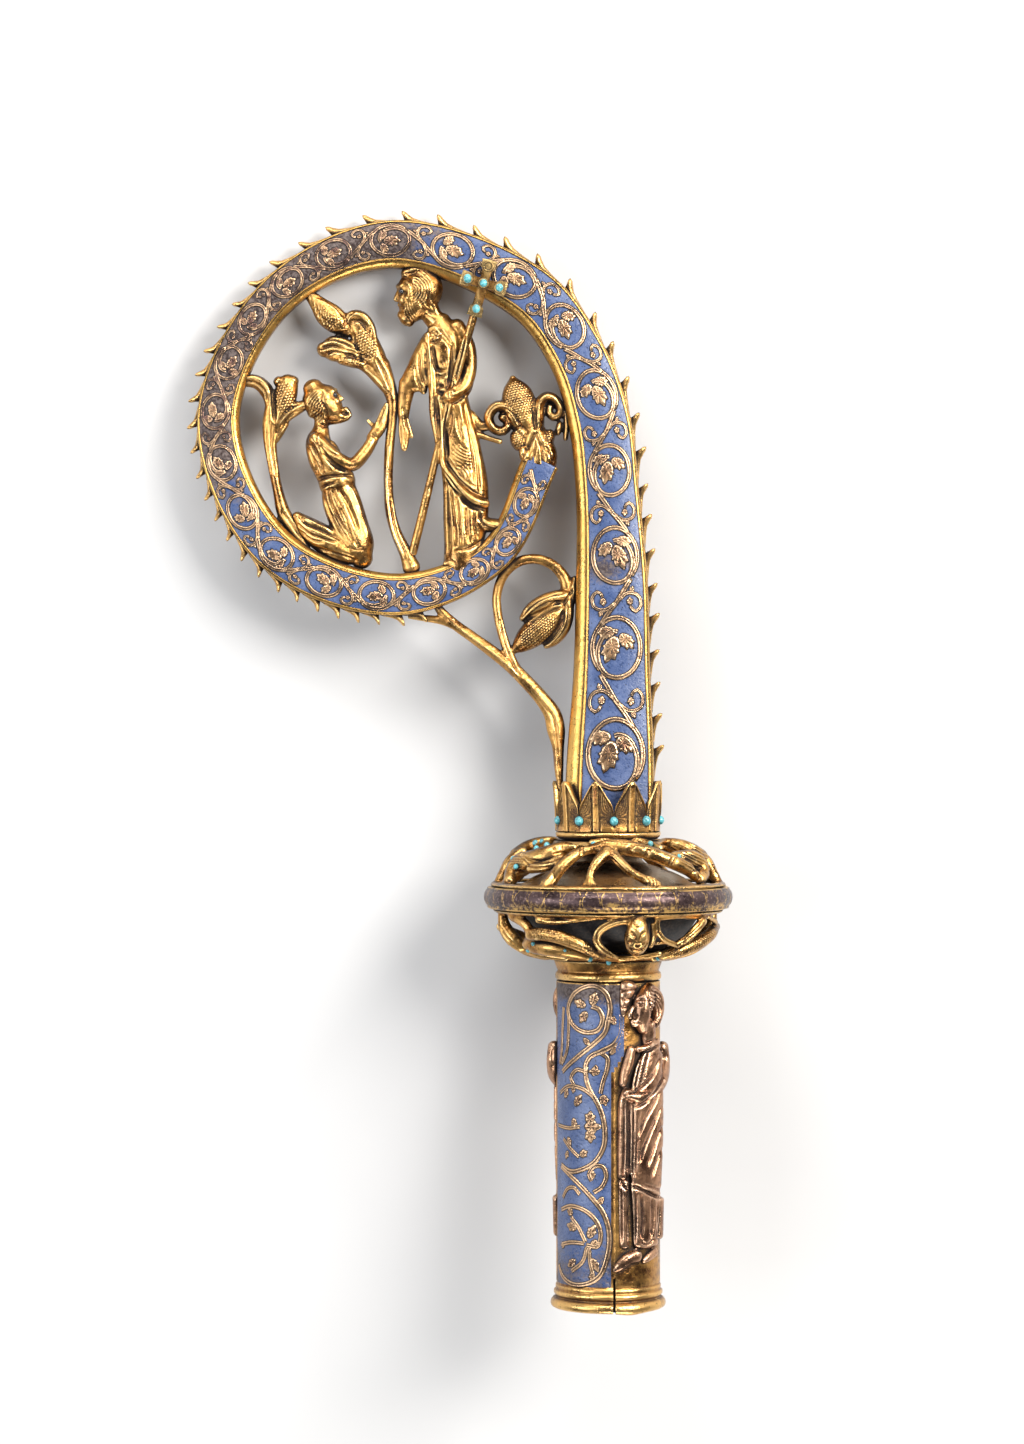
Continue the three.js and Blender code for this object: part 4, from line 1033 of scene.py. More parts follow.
def saintParts():
    parts = [
        limb(saintRobe, sides=24),
        limb([(-50, 270, 0.6, 2.4, 3), (-42.2, 273.6, 0, 2.6, 3)]),  # shoulders
        flatLimb([(-46.8, 273.6, 2.9, 2.8), (-50.2, 277.4, 2.6, 2.6), (-52.4, 280, 2.6, 2.4)]),  # neck
        flatLimb([(-53, 278.6, 2, 2.2), (-55.4, 276.8, 1.8, 2), (-55.6, 274.9, 1.3, 1.4)]),  # beard
        flatLimb([(-56.3, 288.4, 1.9, 3.3), (-53.8, 289.5, 1.5, 3.6), (-51, 288.4, 2, 3.3)]),  # crown
        flatLimb([(-51, 287.4, 2.4, 3.4), (-50.2, 283.4, 2.2, 3.8), (-49.5, 280, 2, 3.2),
                  (-48, 277.2, 1.6, 2.5), (-45.4, 275.8, 1, 1.8)]),  # hair
        *headParts(saint["head"], saint["height"], -1, saint["tilt"]),
        limb([(-50.6, 270.4, 0.6, 1.6, 2.4), (-52.2, 266, 1, 2.4, 2.8), (-53.6, 261, 1.2, 3.2, 2.6),
              (-54.8, 257.6, 1.2, 3.6, 2.2)], sides=18),  # near sleeve
        limb([(-51.8, 262, 1.4, 1.2, 1.6), (-51.4, 258, 1.4, 1.2, 1.5), (-51.6, 255.6, 1.2, 1, 1)]),
        limb([(-56, 258, 1, 2.6, 2.2), (-56.9, 253, 1, 2.1, 1.9), (-57.3, 248.6, 0.9, 1.6, 1.5)]),
        limb([(-57.3, 249, 0.9, 1.5, 1.3), (-57, 244, 0.8, 1.6, 1.1), (-57, 239.6, 0.8, 0.95, 0.8)]),
        limb([(-56.8, 248, 1, 0.85), (-55.6, 245, 1, 0.75), (-54.9, 242.9, 1, 0.55)]),  # thumb
        limb([(-41.6, 272.6, 0, 2.4, 3), (-39.2, 268.6, 0.4, 2, 2.6), (-38.5, 264, 1, 1.9, 2.4),
              (-39.2, 259.6, 2, 2.1, 2.2), (-40.6, 256.4, 3.2, 1.9, 1.8), (-43.4, 254.6, 4.2, 1.5, 1.5)]),
        limb([(-38.6, 262, 1, 1.5, 1.6), (-39, 257, 1, 1.2, 1.4), (-40.4, 254, 2, 1, 1.2)]),
        limb([(-42.6, 254.8, 4.4, 1.2, 1.2), (-44.6, 254.2, 5.2, 1.5, 1.3), (-45.6, 253, 4.4, 1, 1)]),
        limb([(-36.6, 279.6, 7.6, 1.15), (-38.6, 272.4, 6.6, 1.2), (-40.4, 266.6, 5.4, 1.2),
              (-43.6, 255.6, 4.2, 1.2), (-47.4, 240, 3, 1.1),
              (-51.6, 222.6, 1.8, 1.25), (-54.6, 210.6, 1, 1.25)], sides=12),  # staff
        *bothFaces([(-50.5, 271, 2.8, 1.1, 1.4), (-49.6, 264, 3, 1.2, 1.6), (-49, 256, 3, 1.25, 1.7),
                    (-48.9, 249, 2.6, 1.1, 1.5), (-47.7, 242, 2.4, 0.9, 1.4), (-47.2, 237, 2.6, 0.8, 1.3)]),
        *bothFaces([(-47.2, 254, 3.2, 0.8, 1.3), (-46.4, 247, 3.4, 0.9, 1.2), (-46.4, 240, 3.4, 0.9, 1.2),
                    (-46, 234.6, 3.6, 0.9, 1.3), (-43.4, 230.6, 4.2, 1.1, 1.3), (-40.4, 227, 4.6, 1.3, 1.3),
                    (-37, 224.6, 4.4, 1.4, 1.2), (-34.2, 224.2, 3, 1.3, 1.2)]),  # overfold
        flatLimb([(-38, 219.6, 2.8, 4.2), (-34, 218.4, 2.2, 3.6), (-30.6, 218.2, 1.9, 3)]),  # train
        limb([(-39, 209.8, 1.6, 2, 2.2), (-42.6, 208.2, 2.2, 1.4, 1.8), (-45.4, 207.4, 2.2, 0.9, 1.2)]),
        flatLimb([(-38.6, 249, 1.6, 1.6), (-35.6, 246, 1.5, 1.6), (-33.6, 246.2, 1.5, 1.6)]),  # solder
        flatLimb([(-37.4, 244, 1, 1.4), (-33.4, 242.6, 0.8, 1.2), (-30.2, 241.6, 0.8, 1.2)]),
    ]
    return parts


saintStrokes = [
    *tool(0.45, -0.75, [(-50.9, 268.5), (-50.3, 262), (-50.1, 256)]),
    *tool(0.5, -0.7, [(-52.8, 266), (-52.3, 261), (-51, 257)], [(-44.4, 229), (-43.2, 222), (-42.6, 213)]),
    *tool(0.4, -0.45, [(-53.9, 262.5), (-53.3, 259), (-52, 256.2)],
          [(-42.2, 226), (-41.4, 219), (-40.8, 212.4)]),
    *tool(0.45, -0.5, [(-49.7, 270), (-49, 262), (-48.4, 255), (-48, 246), (-47.4, 240)]),
    *tool(0.55, -0.9, [(-49.2, 268), (-48.6, 264), (-47.6, 261.4), (-45.8, 261)]),
    *tool(0.35, 0.35, [(-50.3, 271), (-49.8, 273), (-48.4, 273.4), (-47.2, 271.6)]),
    *tool(0.4, -0.5, [(-49.8, 269.6), (-48.6, 269), (-47.2, 269.8), (-46.4, 271.4)],
          [(-47.2, 255), (-46, 254.8)], [(-47, 253.2), (-45.8, 253.2)],
          [(-43.6, 250), (-43.9, 246.4), (-44.6, 243.4)],
          [(-40.2, 252), (-38.6, 244), (-37.7, 237), (-37.2, 230)],
          [(-57.4, 251), (-56.6, 248.4), (-56.2, 245)], [(-52.8, 280.8), (-51.2, 278.6), (-48.8, 277)]),
    *tool(0.4, -0.55, [(-47.4, 273.4), (-45.6, 271), (-43.8, 268.4)],
          [(-42.6, 211), (-39, 211.6), (-36, 213.2), (-33, 215.6), (-31, 216.8)]),
    *tool(0.35, -0.45, [(-46.6, 270.6), (-45, 269.2), (-43.6, 267)], [(-46.6, 263.6), (-46.4, 262.6)],
          [(-45.9, 236.6), (-43.4, 233), (-40.6, 229.8), (-37.4, 227.2), (-34.6, 226.2)]),
    *tool(0.35, -0.4, [(-48.6, 271.6), (-48.2, 270.8)], [(-48, 272.4), (-47.6, 271.6)],
          [(-47.5, 252), (-47.3, 246), (-46.9, 241)], [(-42.2, 248), (-41.8, 244.6), (-40.8, 242.4)],
          [(-50.6, 283), (-50, 280.4), (-48.6, 278.2)]),
    *tool(0.3, -0.4, [(-45.8, 264), (-45.5, 262.4)]),
    *tool(0.4, -0.6, [(-48, 260), (-46.6, 259.5), (-45.2, 260.2)], [(-47.4, 257), (-46, 256.8)]),
    *tool(0.5, -0.8, [(-43.5, 268.4), (-43.6, 264), (-44.3, 259), (-44.6, 256.6)]),
    *tool(0.5, -0.9, [(-40.1, 270), (-41, 265), (-42.6, 258.4)],
          [(-45.6, 230.6), (-44.8, 222), (-44.4, 214), (-44.6, 209.6)]),
    *tool(0.3, -0.35, [(-39.8, 263.2), (-39.2, 262.6)],
          [(-44.4, 236.4), (-42, 233), (-39.6, 230.4), (-37, 228.8)], [(-44.6, 208.8), (-42.6, 207.4)],
          [(-58, 246), (-57.8, 241)], [(-56.9, 245.6), (-56.8, 240.6)]),
    *tool(0.35, -0.5, [(-46, 252.6), (-43.6, 252), (-41, 253.4), (-39.6, 255.2)],
          [(-57.4, 283.2), (-56.4, 282.6)]),
    *tool(0.3, -0.5, [(-44.9, 255), (-44.6, 253.4)], [(-44, 255.2), (-43.8, 253.6)]),
    *tool(0.5, -1, [(-44.6, 252), (-45.3, 247), (-45.4, 242), (-44.9, 238)]),
    *tool(0.6, 0.4, [(-41.6, 252), (-40.6, 246)]),
    *tool(0.5, -0.55, [(-38.8, 246), (-36.8, 238), (-36, 230), (-35.8, 227.4)]),
    *tool(0.6, -1.3, [(-46.6, 233.2), (-44.2, 230), (-41.8, 226.9), (-39.4, 224.2), (-37.2, 223), (-34.2,
           222.6)]),
    *tool(0.7, 0.45, [(-43.6, 226), (-42.6, 218)]),
    *tool(0.7, 0.4, [(-41.4, 226), (-40.6, 214)]),
    *tool(0.45, -0.45, [(-39.6, 223.6), (-39.4, 218), (-38.8, 213.6)]),
    *tool(0.35, -0.35, [(-37.2, 222.4), (-37.4, 218), (-36.6, 214.6)]),
    *tool(0.45, -0.8, [(-35.8, 222.4), (-35.3, 219.4), (-34, 217.6), (-32, 217)]),
    *tool(0.5, -0.6, [(-57.9, 287.3), (-56, 286.8), (-54.9, 284.8), (-54.4, 282), (-54.6, 280.4)]),
    *tool(0.35, 0.25, [(-56.6, 281.9), (-55.9, 281.2)]),
    *tool(0.3, -0.45, [(-58.2, 279), (-57, 278.8)]),
    *tool(0.4, -0.4, [(-57.4, 288.4), (-54.6, 288.3), (-51, 287.2)]),
]
saintPatterns = [
    (hatchLift, (-51.8, 284.6), (3.0, 4.6), 0, 0.78, 0.30, (-55.4, 283.2)),
    (hatchLift, (-53.4, 281.6), (2.0, 3.2), 25, 0.74, 0.28, (-57.4, 285.4)),
    (hatchLift, (-55.2, 277.6), (1.7, 3.4), 12, 0.72, 0.28, (-50.0, 280.2)),
    (hatchLift, (-41, 237.4), (2.7, 4.4), 28, 0.85, 0.30, (-38.5, 242.5)),
    (hatchLift, (-40.4, 233.6), (2.4, 3.0), 40, 0.85, 0.30, (-43.5, 230.5)),
    (scaleLift, (-48.6, 271), (1.6, 1.9), 20, 0.9, 0.3),
]
carvedPiece("saint", saintParts(), saintStrokes, saintPatterns, "gilt", ("volute_group",))
makeEyes("saint_eyes", saint["head"], saint["height"], -1, saint["tilt"], "gilt")

# Kneeling figure

kneeler = {"head": (-79, 252.2), "height": 12.6, "tilt": 27}


def kneelerParts():
    return [
        flatLimb([(-75.9, 230.2, 4.6, 4.2), (-77.6, 233.4, 4.6, 4.2), (-79.6, 238, 4.7, 4.4),
                  (-80.9, 241.6, 3.8, 4), (-80.4, 244.6, 2.5, 2.9)], sides=22),  # torso
        flatLimb([(-80.5, 243, 2.2, 2.4), (-80.2, 247, 2.1, 2.2), (-80, 249.6, 2.4, 2.2)]),  # neck
        flatLimb([(-75.6, 229.6, 5.2, 4.8), (-76.2, 231.4, 5.2, 4.8)], sides=22),  # belt
        flatLimb([(-75.9, 230.6, 4.5, 4.2), (-74.6, 225, 5.4, 4.8), (-72.2, 218, 5.2, 4.8),
                  (-70, 212, 4.8, 4.5), (-68.9, 208.9, 3.2, 3.4)], sides=22),  # thigh
        flatLimb([(-68.6, 209.4, 2.2, 2.8), (-73.4, 210.8, 3.6, 4.2), (-79, 214, 4, 4.4),
                  (-84, 217.6, 3.2, 3.8), (-87, 220.6, 1.6, 2.2)], sides=20),  # shin
        *bothFaces([(-81.6, 242, 2.6, 2.3), (-78.6, 239.2, 3.4, 2.1), (-75.2, 236.4, 3.4, 2),
                    (-71.6, 235.2, 2.9, 1.8), (-68.2, 238.4, 2.2, 1.7), (-65.8, 242.2, 1.5, 1.5)]),
        *bothFaces([(-66.2, 242.4, 1.2, 1.6, 1.3), (-63.8, 245.8, 0.9, 1.8, 1.2),
                    (-62.6, 249.6, 0.7, 1.3, 1), (-61.9, 252, 0.6, 0.8, 0.7)]),
        limb([(-64.6, 245.2, 0, 0.9), (-66, 246.3, 0, 0.7), (-67.2, 247.6, 0, 0.5)]),
        flatLimb([(-82.6, 249.6, 1.6, 2.6), (-83, 252.6, 1.6, 2.8), (-81, 255.6, 1.6, 2.6)]),  # hair
        *headParts(kneeler["head"], kneeler["height"], 1, kneeler["tilt"]),
        flatLimb([(-73.4, 250.6, 1, 1.4), (-72.4, 248.9, 0.9, 1.2), (-75.4, 247.8, 1.2, 1.6),
                  (-77.8, 247.6, 1.3, 1.8)]),  # jaw
    ]


kneelerStrokes = [
    *tool(0.45, -0.6, [(-82.8, 240.5), (-80.6, 236.6), (-79.6, 233.2)]),
    *tool(0.4, -0.5, [(-83.8, 239.6), (-82.2, 235.6), (-81, 232.4)],
          [(-78.2, 229), (-77.4, 224.6), (-75.2, 220), (-72.6, 215.8), (-71, 213.2)]),
    *tool(0.7, 0.4, [(-80.9, 239.6), (-78.6, 235.6), (-76.8, 233.6)]),
    *tool(0.5, -0.8, [(-80.6, 240.4), (-78.2, 236.8), (-75.4, 234.4), (-72.6, 233)],
          [(-82, 211.6), (-78.4, 210.6), (-74.6, 209.6), (-70.4, 208.2)]),
    *tool(0.4, -0.4, [(-80.6, 244.4), (-81.6, 242.4), (-80.6, 240)]),
    *tool(0.35, -0.4, [(-78.6, 243.6), (-77.6, 241.6), (-75.4, 239.8)],
          [(-80.4, 241), (-77.6, 238.4), (-75, 237.2)],
          [(-74.4, 222.6), (-72.6, 218.8), (-71.2, 215), (-70.2, 212)],
          [(-73.2, 219), (-71.4, 215), (-69.6, 211.4)],
          [(-73.6, 231), (-70.6, 227.6), (-68.6, 222.6), (-67.4, 218)],
          [(-80, 210.4), (-76.4, 209.4), (-73, 208.6)]),
    *tool(0.35, -0.35, [(-82.6, 237.6), (-80.4, 233.6), (-78.6, 231.8)], [(-73, 252.4), (-72.4, 251)]),
    *tool(0.5, -1, [(-82.2, 230.4), (-79.6, 231.4), (-76, 232), (-72.4, 232.2), (-70.6, 231.8)]),
    *tool(0.45, -0.8, [(-81.2, 228.2), (-78.4, 229.4), (-76, 230.2)]),
    *tool(0.35, -0.5, [(-65.9, 243.5), (-64.6, 242.2)], [(-72.2, 211.8), (-70.4, 211.2), (-68.6, 211.4)],
          [(-85.8, 216.6), (-83, 214), (-79.6, 213.4)]),
    *tool(0.35, -0.45, [(-64.4, 246.2), (-63.4, 249), (-62.6, 251)],
          [(-76.2, 220.6), (-74.4, 216.8), (-72.4, 214.2)], [(-74.6, 249.6), (-72.4, 249.2)]),
    *tool(0.4, -0.6, [(-79.4, 226), (-78, 221.6), (-75.8, 217.6), (-73.6, 214.4)],
          [(-86.6, 218.4), (-83.6, 215.8), (-80.4, 214.6), (-76, 213.4)]),
    *tool(0.6, -0.5, [(-77, 228), (-75.4, 225.4), (-74.2, 223)]),
    *tool(0.8, -0.6, [(-74.8, 227.4), (-73, 224.6), (-71.6, 221.6), (-70.4, 218.6), (-69.6, 216.6)]),
    *tool(0.4, 0.35, [(-72.4, 230), (-70.4, 225.4), (-68.4, 220.4), (-67, 215)]),
    *tool(0.5, -0.9, [(-86.2, 220.6), (-84.2, 218.6), (-80.4, 217), (-77.2, 215.6), (-75.2, 214.4)]),
    *tool(0.6, 0.45, [(-85.4, 220.2), (-81.4, 218.2), (-77.6, 216.6)]),
    *tool(0.45, -0.55, [(-79.9, 255.6), (-79.9, 252.6), (-78.8, 250.4), (-78.4, 247.6)]),
    *tool(0.45, -0.45, [(-80.8, 246.6), (-79, 245.8), (-77.4, 246.4)]),
]
kneelerPatterns = [
    (hatchLift, (-81.6, 251.6), (2.6, 4.4), 12, 0.78, 0.30, (-76.4, 248.6)),
    (hatchLift, (-81.4, 248.8), (2.0, 2.4), 20, 0.78, 0.30, (-84.6, 253)),
]
carvedPiece("kneeler", kneelerParts(), kneelerStrokes, kneelerPatterns, "gilt", ("volute_group",))
makeEyes("kneeler_eyes", kneeler["head"], kneeler["height"], 1, kneeler["tilt"], "gilt")

# Trees inside the curl


def treeParts():
    return [
        flatLimb([(-55, 206.4, 2.6, 2.4), (-56.4, 210, 2, 2), (-59.2, 216, 1.6, 1.8), (-60.9, 222, 1.5, 1.7),
                  (-61.5, 230, 1.35, 1.6), (-61.2, 240, 1.4, 1.6), (-60.4, 248, 1.4, 1.7),
                  (-60.3, 253, 1.7, 1.9), (-61.8, 258, 2.3, 2.2), (-63.9, 263, 3, 2.6)]),  # trunk
        flatLimb([(-62.5, 259, 1.9, 2.4), (-65, 264.6, 3.1, 3.2), (-67.4, 268.6, 3.6, 3.8),
                  (-69, 272, 3.4, 3.6), (-70.4, 275, 2.8, 3.2)], sides=20),  # cone
        flatLimb([(-65.4, 270.4, 1, 2.8), (-66.6, 274.2, 1.3, 3.4), (-69.2, 276.7, 1.6, 3.6),
                  (-72, 276.6, 1.6, 3.4), (-72.6, 274.4, 1.3, 2.8), (-70.8, 273.2, 1.1, 2.6)]),  # curl
        flatLimb([(-72.6, 272.4, 1.6, 2.8), (-75.4, 274.8, 3.4, 3.6), (-78.6, 277.4, 3.6, 3.6),
                  (-81.2, 280.2, 2.4, 2.6), (-83.9, 283.2, 1.4, 1.8)], sides=20),  # far leaf
        flatLimb([(-69.6, 266.2, 1.6, 2.6), (-73.6, 267.6, 3, 3.4), (-77.4, 267.6, 3.6, 3.6),
                  (-79.6, 267.4, 2.2, 2.8)], sides=20),  # lobe
        flatLimb([(-68.4, 263, 1.2, 2.4), (-71.6, 263.8, 1.5, 2.8), (-74.8, 264.4, 1.2, 2.4)]),
        flatLimb([(-61, 254.6, 1, 1.8), (-64.2, 258.8, 1.5, 2.4), (-68, 262.2, 1.2, 2.2),
                  (-70.2, 262.9, 0.7, 1.6)]),  # sprig under the lobe
        flatLimb([(-84.8, 212, 1.6, 1.8), (-87.6, 216.6, 1.9, 2), (-90.6, 221.4, 2, 2),
                  (-92.4, 228, 1.5, 1.8), (-93.9, 236, 1.6, 1.8), (-94.6, 242.6, 2, 2),
                  (-94.4, 247, 2.4, 2.2), (-94.6, 252.4, 1.3, 2.2)]),  # small trunk
        flatLimb([(-92.6, 246.4, 1.4, 2), (-91, 251, 2.8, 3), (-90.2, 255, 3.3, 3.2),
                  (-89.6, 257.8, 3, 3)], sides=20),  # small cone
        egg((-92, 258.4, 0), (1.7, 1.6, 2.6)), egg((-88.2, 258.6, 0), (1.7, 1.6, 2.6)),
        flatLimb([(-94.2, 250, 1.3, 2.2), (-95.2, 255.2, 2, 2.8), (-98, 258.2, 2, 2.8),
                  (-101.4, 258.6, 1.7, 2.2), (-103.2, 258, 1.3, 1.6)]),  # leaf to the ring
        flatLimb([(-92.4, 245.6, 1.3, 1.8), (-90.2, 248.8, 1.9, 2.4), (-87.2, 250.9, 1.9, 2.4),
                  (-84.6, 252, 1.4, 1.8)]),  # leaf to the kneeling figure
        flatLimb([(-92.8, 242.2, 0.9, 1.4), (-91, 245, 0.9, 1.4), (-89.8, 246.6, 0.6, 1)]),
        flatLimb([(-90.6, 221.4, 1, 1.4), (-92.4, 219.4, 0.9, 1.2)]),
    ]


treeStrokes = [
    *tool(0.4, 0.45, [(-57.2, 209), (-60.2, 217), (-61.8, 228), (-61.4, 240)]),
    *tool(0.3, -0.35, [(-56.2, 208.6), (-59.4, 217), (-60.8, 226)]),
    *tool(0.45, -0.6, [(-60.8, 256), (-62.6, 260.6), (-64.6, 264.4)]),
    *tool(0.4, -0.5, [(-62.4, 256.6), (-65, 260), (-68, 262.6)],
          [(-82, 281), (-81.2, 277.8), (-79, 275), (-75.8, 273)],
          [(-82.4, 282.2), (-78.6, 280.6), (-75.6, 278.4), (-73.6, 276.2)],
          [(-94, 247), (-93.9, 240), (-92.8, 232)], [(-91.2, 222), (-88.4, 218.4), (-86, 215)]),
    *tool(0.4, -0.6, [(-66.4, 264.8), (-69.4, 265.6), (-71, 266.4)],
          [(-67.2, 272.4), (-69.2, 275), (-71.4, 275.2)],
          [(-102, 258.4), (-98.6, 257.9), (-96, 255.6), (-95, 252)],
          [(-101.6, 256.8), (-98.6, 256.4), (-96.4, 254.2)], [(-92.2, 246.8), (-89.6, 250.2), (-86, 252.2)],
          [(-91.6, 245.6), (-88.8, 248.9), (-85.6, 250.8)]),
    *tool(0.4, -0.7, [(-71.2, 271.6), (-70.6, 268.8), (-69.8, 266.6)]),
    *tool(0.35, -0.45, [(-65, 268.4), (-65.6, 272), (-66.6, 275.2), (-69.2, 277)]),
    *tool(0.35, -0.4, [(-73.8, 273.4), (-72.6, 276.2), (-71.2, 277.6)]),
    *tool(0.4, -0.55, [(-82.6, 281.4), (-82.4, 277), (-80.6, 273.6), (-77, 272)]),
    *tool(0.5, 0.4, [(-81.8, 282.2), (-77.8, 279.6), (-75.2, 277.4)],
          [(-102, 259.4), (-98, 259.2), (-95.4, 256.8), (-94.4, 253.6)]),
    *tool(0.5, -0.9, [(-80.4, 270.2), (-76.8, 270), (-73.2, 268.8), (-70.6, 267.4)]),
    *tool(0.5, -0.8, [(-80.8, 267.6), (-77, 268), (-73.4, 267), (-70.8, 266.6)],
          [(-79.8, 265.2), (-76.6, 266.6), (-73.4, 265.8), (-71, 265.6)],
          [(-93.7, 256.6), (-93.5, 252), (-93.2, 247.4)]),
    *tool(0.55, 0.4, [(-80.2, 268.8), (-76.6, 269.2), (-72.8, 268)],
          [(-80.2, 266.6), (-76.6, 267.4), (-72.8, 266.6)]),
    *tool(0.6, -0.8, [(-80.6, 271.6), (-77.4, 271.4), (-74, 271.6), (-72.6, 272.6)]),
    *tool(0.3, -0.3, [(-95.2, 246), (-95.2, 240), (-94, 232)]),
]
treePatterns = [
    (scaleLift, (-67.6, 268.4), (3.2, 5.0), 22, 0.95, 0.42),
    (scaleLift, (-77.2, 274.6), (3.2, 2.6), 40, 0.95, 0.38),
    (scaleLift, (-72.2, 264.1), (3.6, 1.4), 8, 0.85, 0.32),
    (scaleLift, (-90.4, 253.4), (3.4, 5.2), 8, 0.95, 0.42),
    (hatchLift, (-80.2, 276.2), (2.4, 4.0), 10, 0.8, 0.26, (-75.2, 277.2)),
]
carvedPiece("trees", treeParts(), treeStrokes, treePatterns, "gilt", ("volute_group",))

# Cross on the saint's staff, with its stones

cross = {"middle": (-34.8, 285.0), "front": 7.9, "tilt": -16, "thick": 1.5}
crossArms = [(0, 6.6), (90, 6.8), (180, 6.6), (270, 9.6)]
crossStones = [(0, 0), (-4.6, 0), (4.6, 0), (0, -7.4)]


def onCross(across, up, lift):
    h = math.radians(cross["tilt"])
    x, y = cross["middle"]
    return (x + across * math.cos(h) - up * math.sin(h), y + across * math.sin(h) + up * math.cos(h),
            cross["front"] + lift)


def ringStrip(middle, radius, thick, lift, onto, count=28):
    angle = circle(count)
    profile = [(-thick, -0.4), (-thick * 0.7, lift), (thick * 0.3, lift), (thick, -0.4)]
    rings = np.array([[onto(middle[0] + (radius + r) * math.cos(a), middle[1] + (radius + r) * math.sin(a),
                            z)
                       for r, z in profile] for a in angle])
    points, faces = skin(rings, False)
    m = len(profile)
    last = (count - 1) * m
    faces += [[last + k, last + (k + 1) % m, (k + 1) % m, k] for k in range(m)]
    return points, faces


def makeCross():
    outline = []
    for turnBy, reach in crossArms:
        corners = [(1.45, -1.35), (reach - 3.0, -1.4), (reach - 2.2, -2.0), (reach - 0.2, -2.15)]
        arm = corners + [(reach, 0)] + [(a, -b) for a, b in corners[::-1]]
        h = math.radians(turnBy)
        outline += [(a * math.cos(h) - b * math.sin(h), a * math.sin(h) + b * math.cos(h)) for a, b in arm]
    half = cross["thick"] / 2
    levels = [(0.94, -half), (1.0, -half + 0.25), (1.0, half - 0.3), (0.93, half)]
    rings = np.array([[onCross(a * share, b * share, z) for a, b in outline] for share, z in levels])
    parts = [skin(rings)]
    for spot in [*crossStones, (0, 4.9)]:
        parts.append(ringStrip(spot, 1.35, 0.34, half + 0.28, onCross))
    points, faces = joinSkins(parts)
    piece = makePiece("cross", points, faces, "figureGilt", False)
    finishPiece(piece, "gilt")
    spots = [onCross(a, b, half - 0.1) for a, b in crossStones]
    makeStones("cross_stones", spots, [front] * 4, 1.1,
               ["cross_bead_centre", "cross_bead_left", "cross_bead_right", "cross_bead_foot"])


# Round stone one unit across its half width, flat below
def stoneShape():
    rings = []
    for a in np.radians([0, 25, 50, 72, 86]):
        angle = circle(14)
        reach = math.cos(a)
        rings.append(np.stack([reach * np.cos(angle), reach * np.sin(angle), np.full(14, math.sin(a))], -1))
    rings = [rings[0] * [1, 1, 0] - [0, 0, 0.5], *rings]
    return skin(np.array(rings))


def makeStones(name, places, facing, size, nodes=()):
    places, facing = np.array(places, float), np.array(facing, float)
    ahead = unit(np.cross(facing, [0, 1, 0.001]))
    sizes = np.tile([size, size * 1.12, size * 0.95], (len(places), 1))
    piece = scatter(name, stoneShape(), places, ahead, facing, sizes, "turquoise", 0.12, 5)
    return finishPiece(piece, "turquoise", *nodes)


makeCross()

# Bud at the end of the curl

bud = {"pitch": 0.85}


def budParts():
    return [
        flatLimb([(-19, 235.2, 4.7, 4.3), (-19.2, 238, 5, 4.6), (-20, 241, 4.4, 4.6),
                  (-20.9, 244.2, 3.6, 4.2)], sides=24),  # calyx
        flatLimb([(-21.6, 243, 3, 3.2), (-23.2, 247.4, 4, 4.2), (-24.6, 251.6, 4.7, 4.6),
                  (-25.6, 255, 4.4, 4.2), (-26.3, 257.6, 2.9, 2.9), (-26.7, 259.3, 1, 1)], sides=22),  # cone
        flatLimb([(-23.6, 243.2, 1.5, 3.2), (-26, 247.6, 1.9, 4.2), (-28.4, 251, 1.7, 4.6),
                  (-31.4, 251.4, 1.6, 4.4), (-33.4, 248.8, 1.5, 3.8), (-32.4, 245.6, 1.4, 3.2),
                  (-29.6, 244.6, 1.4, 2.8), (-27.8, 246.6, 1.3, 2.4), (-29.4, 248.6, 1.5, 2.4)], sides=18),
        flatLimb([(-19.4, 243.2, 1.5, 3.2), (-19.6, 247.4, 1.8, 4.2), (-19.2, 252.2, 1.7, 4.4),
                  (-16.9, 254.2, 1.5, 4.2), (-14.2, 252.6, 1.4, 3.6), (-13.4, 249.8, 1.3, 3),
                  (-15, 248.4, 1.2, 2.6), (-16.6, 249.8, 1.2, 2.4), (-16.3, 251.4, 1.3, 2.2)], sides=18),
        egg((-25.2, 242, 0), (2.3, 3.2, 4.2), 16), egg((-16.6, 242.6, 0), (1.7, 2.7, 4), -12),
        egg((-13.8, 245.4, 0), (1, 2.2, 2.6), -10),
        flatLimb([(-12, 250, 0.7, 2.4), (-11.6, 246, 0.9, 2.4), (-12, 242.4, 0.7, 2)]),
        *[egg((x, y, side * 3), (1.5, 2.4, 1.5), lean) for side in (1, -1)
          for x, y, lean in ((-23.4, 237.9, 20), (-20.9, 237.2, 4), (-16.9, 237, -14))],
    ]


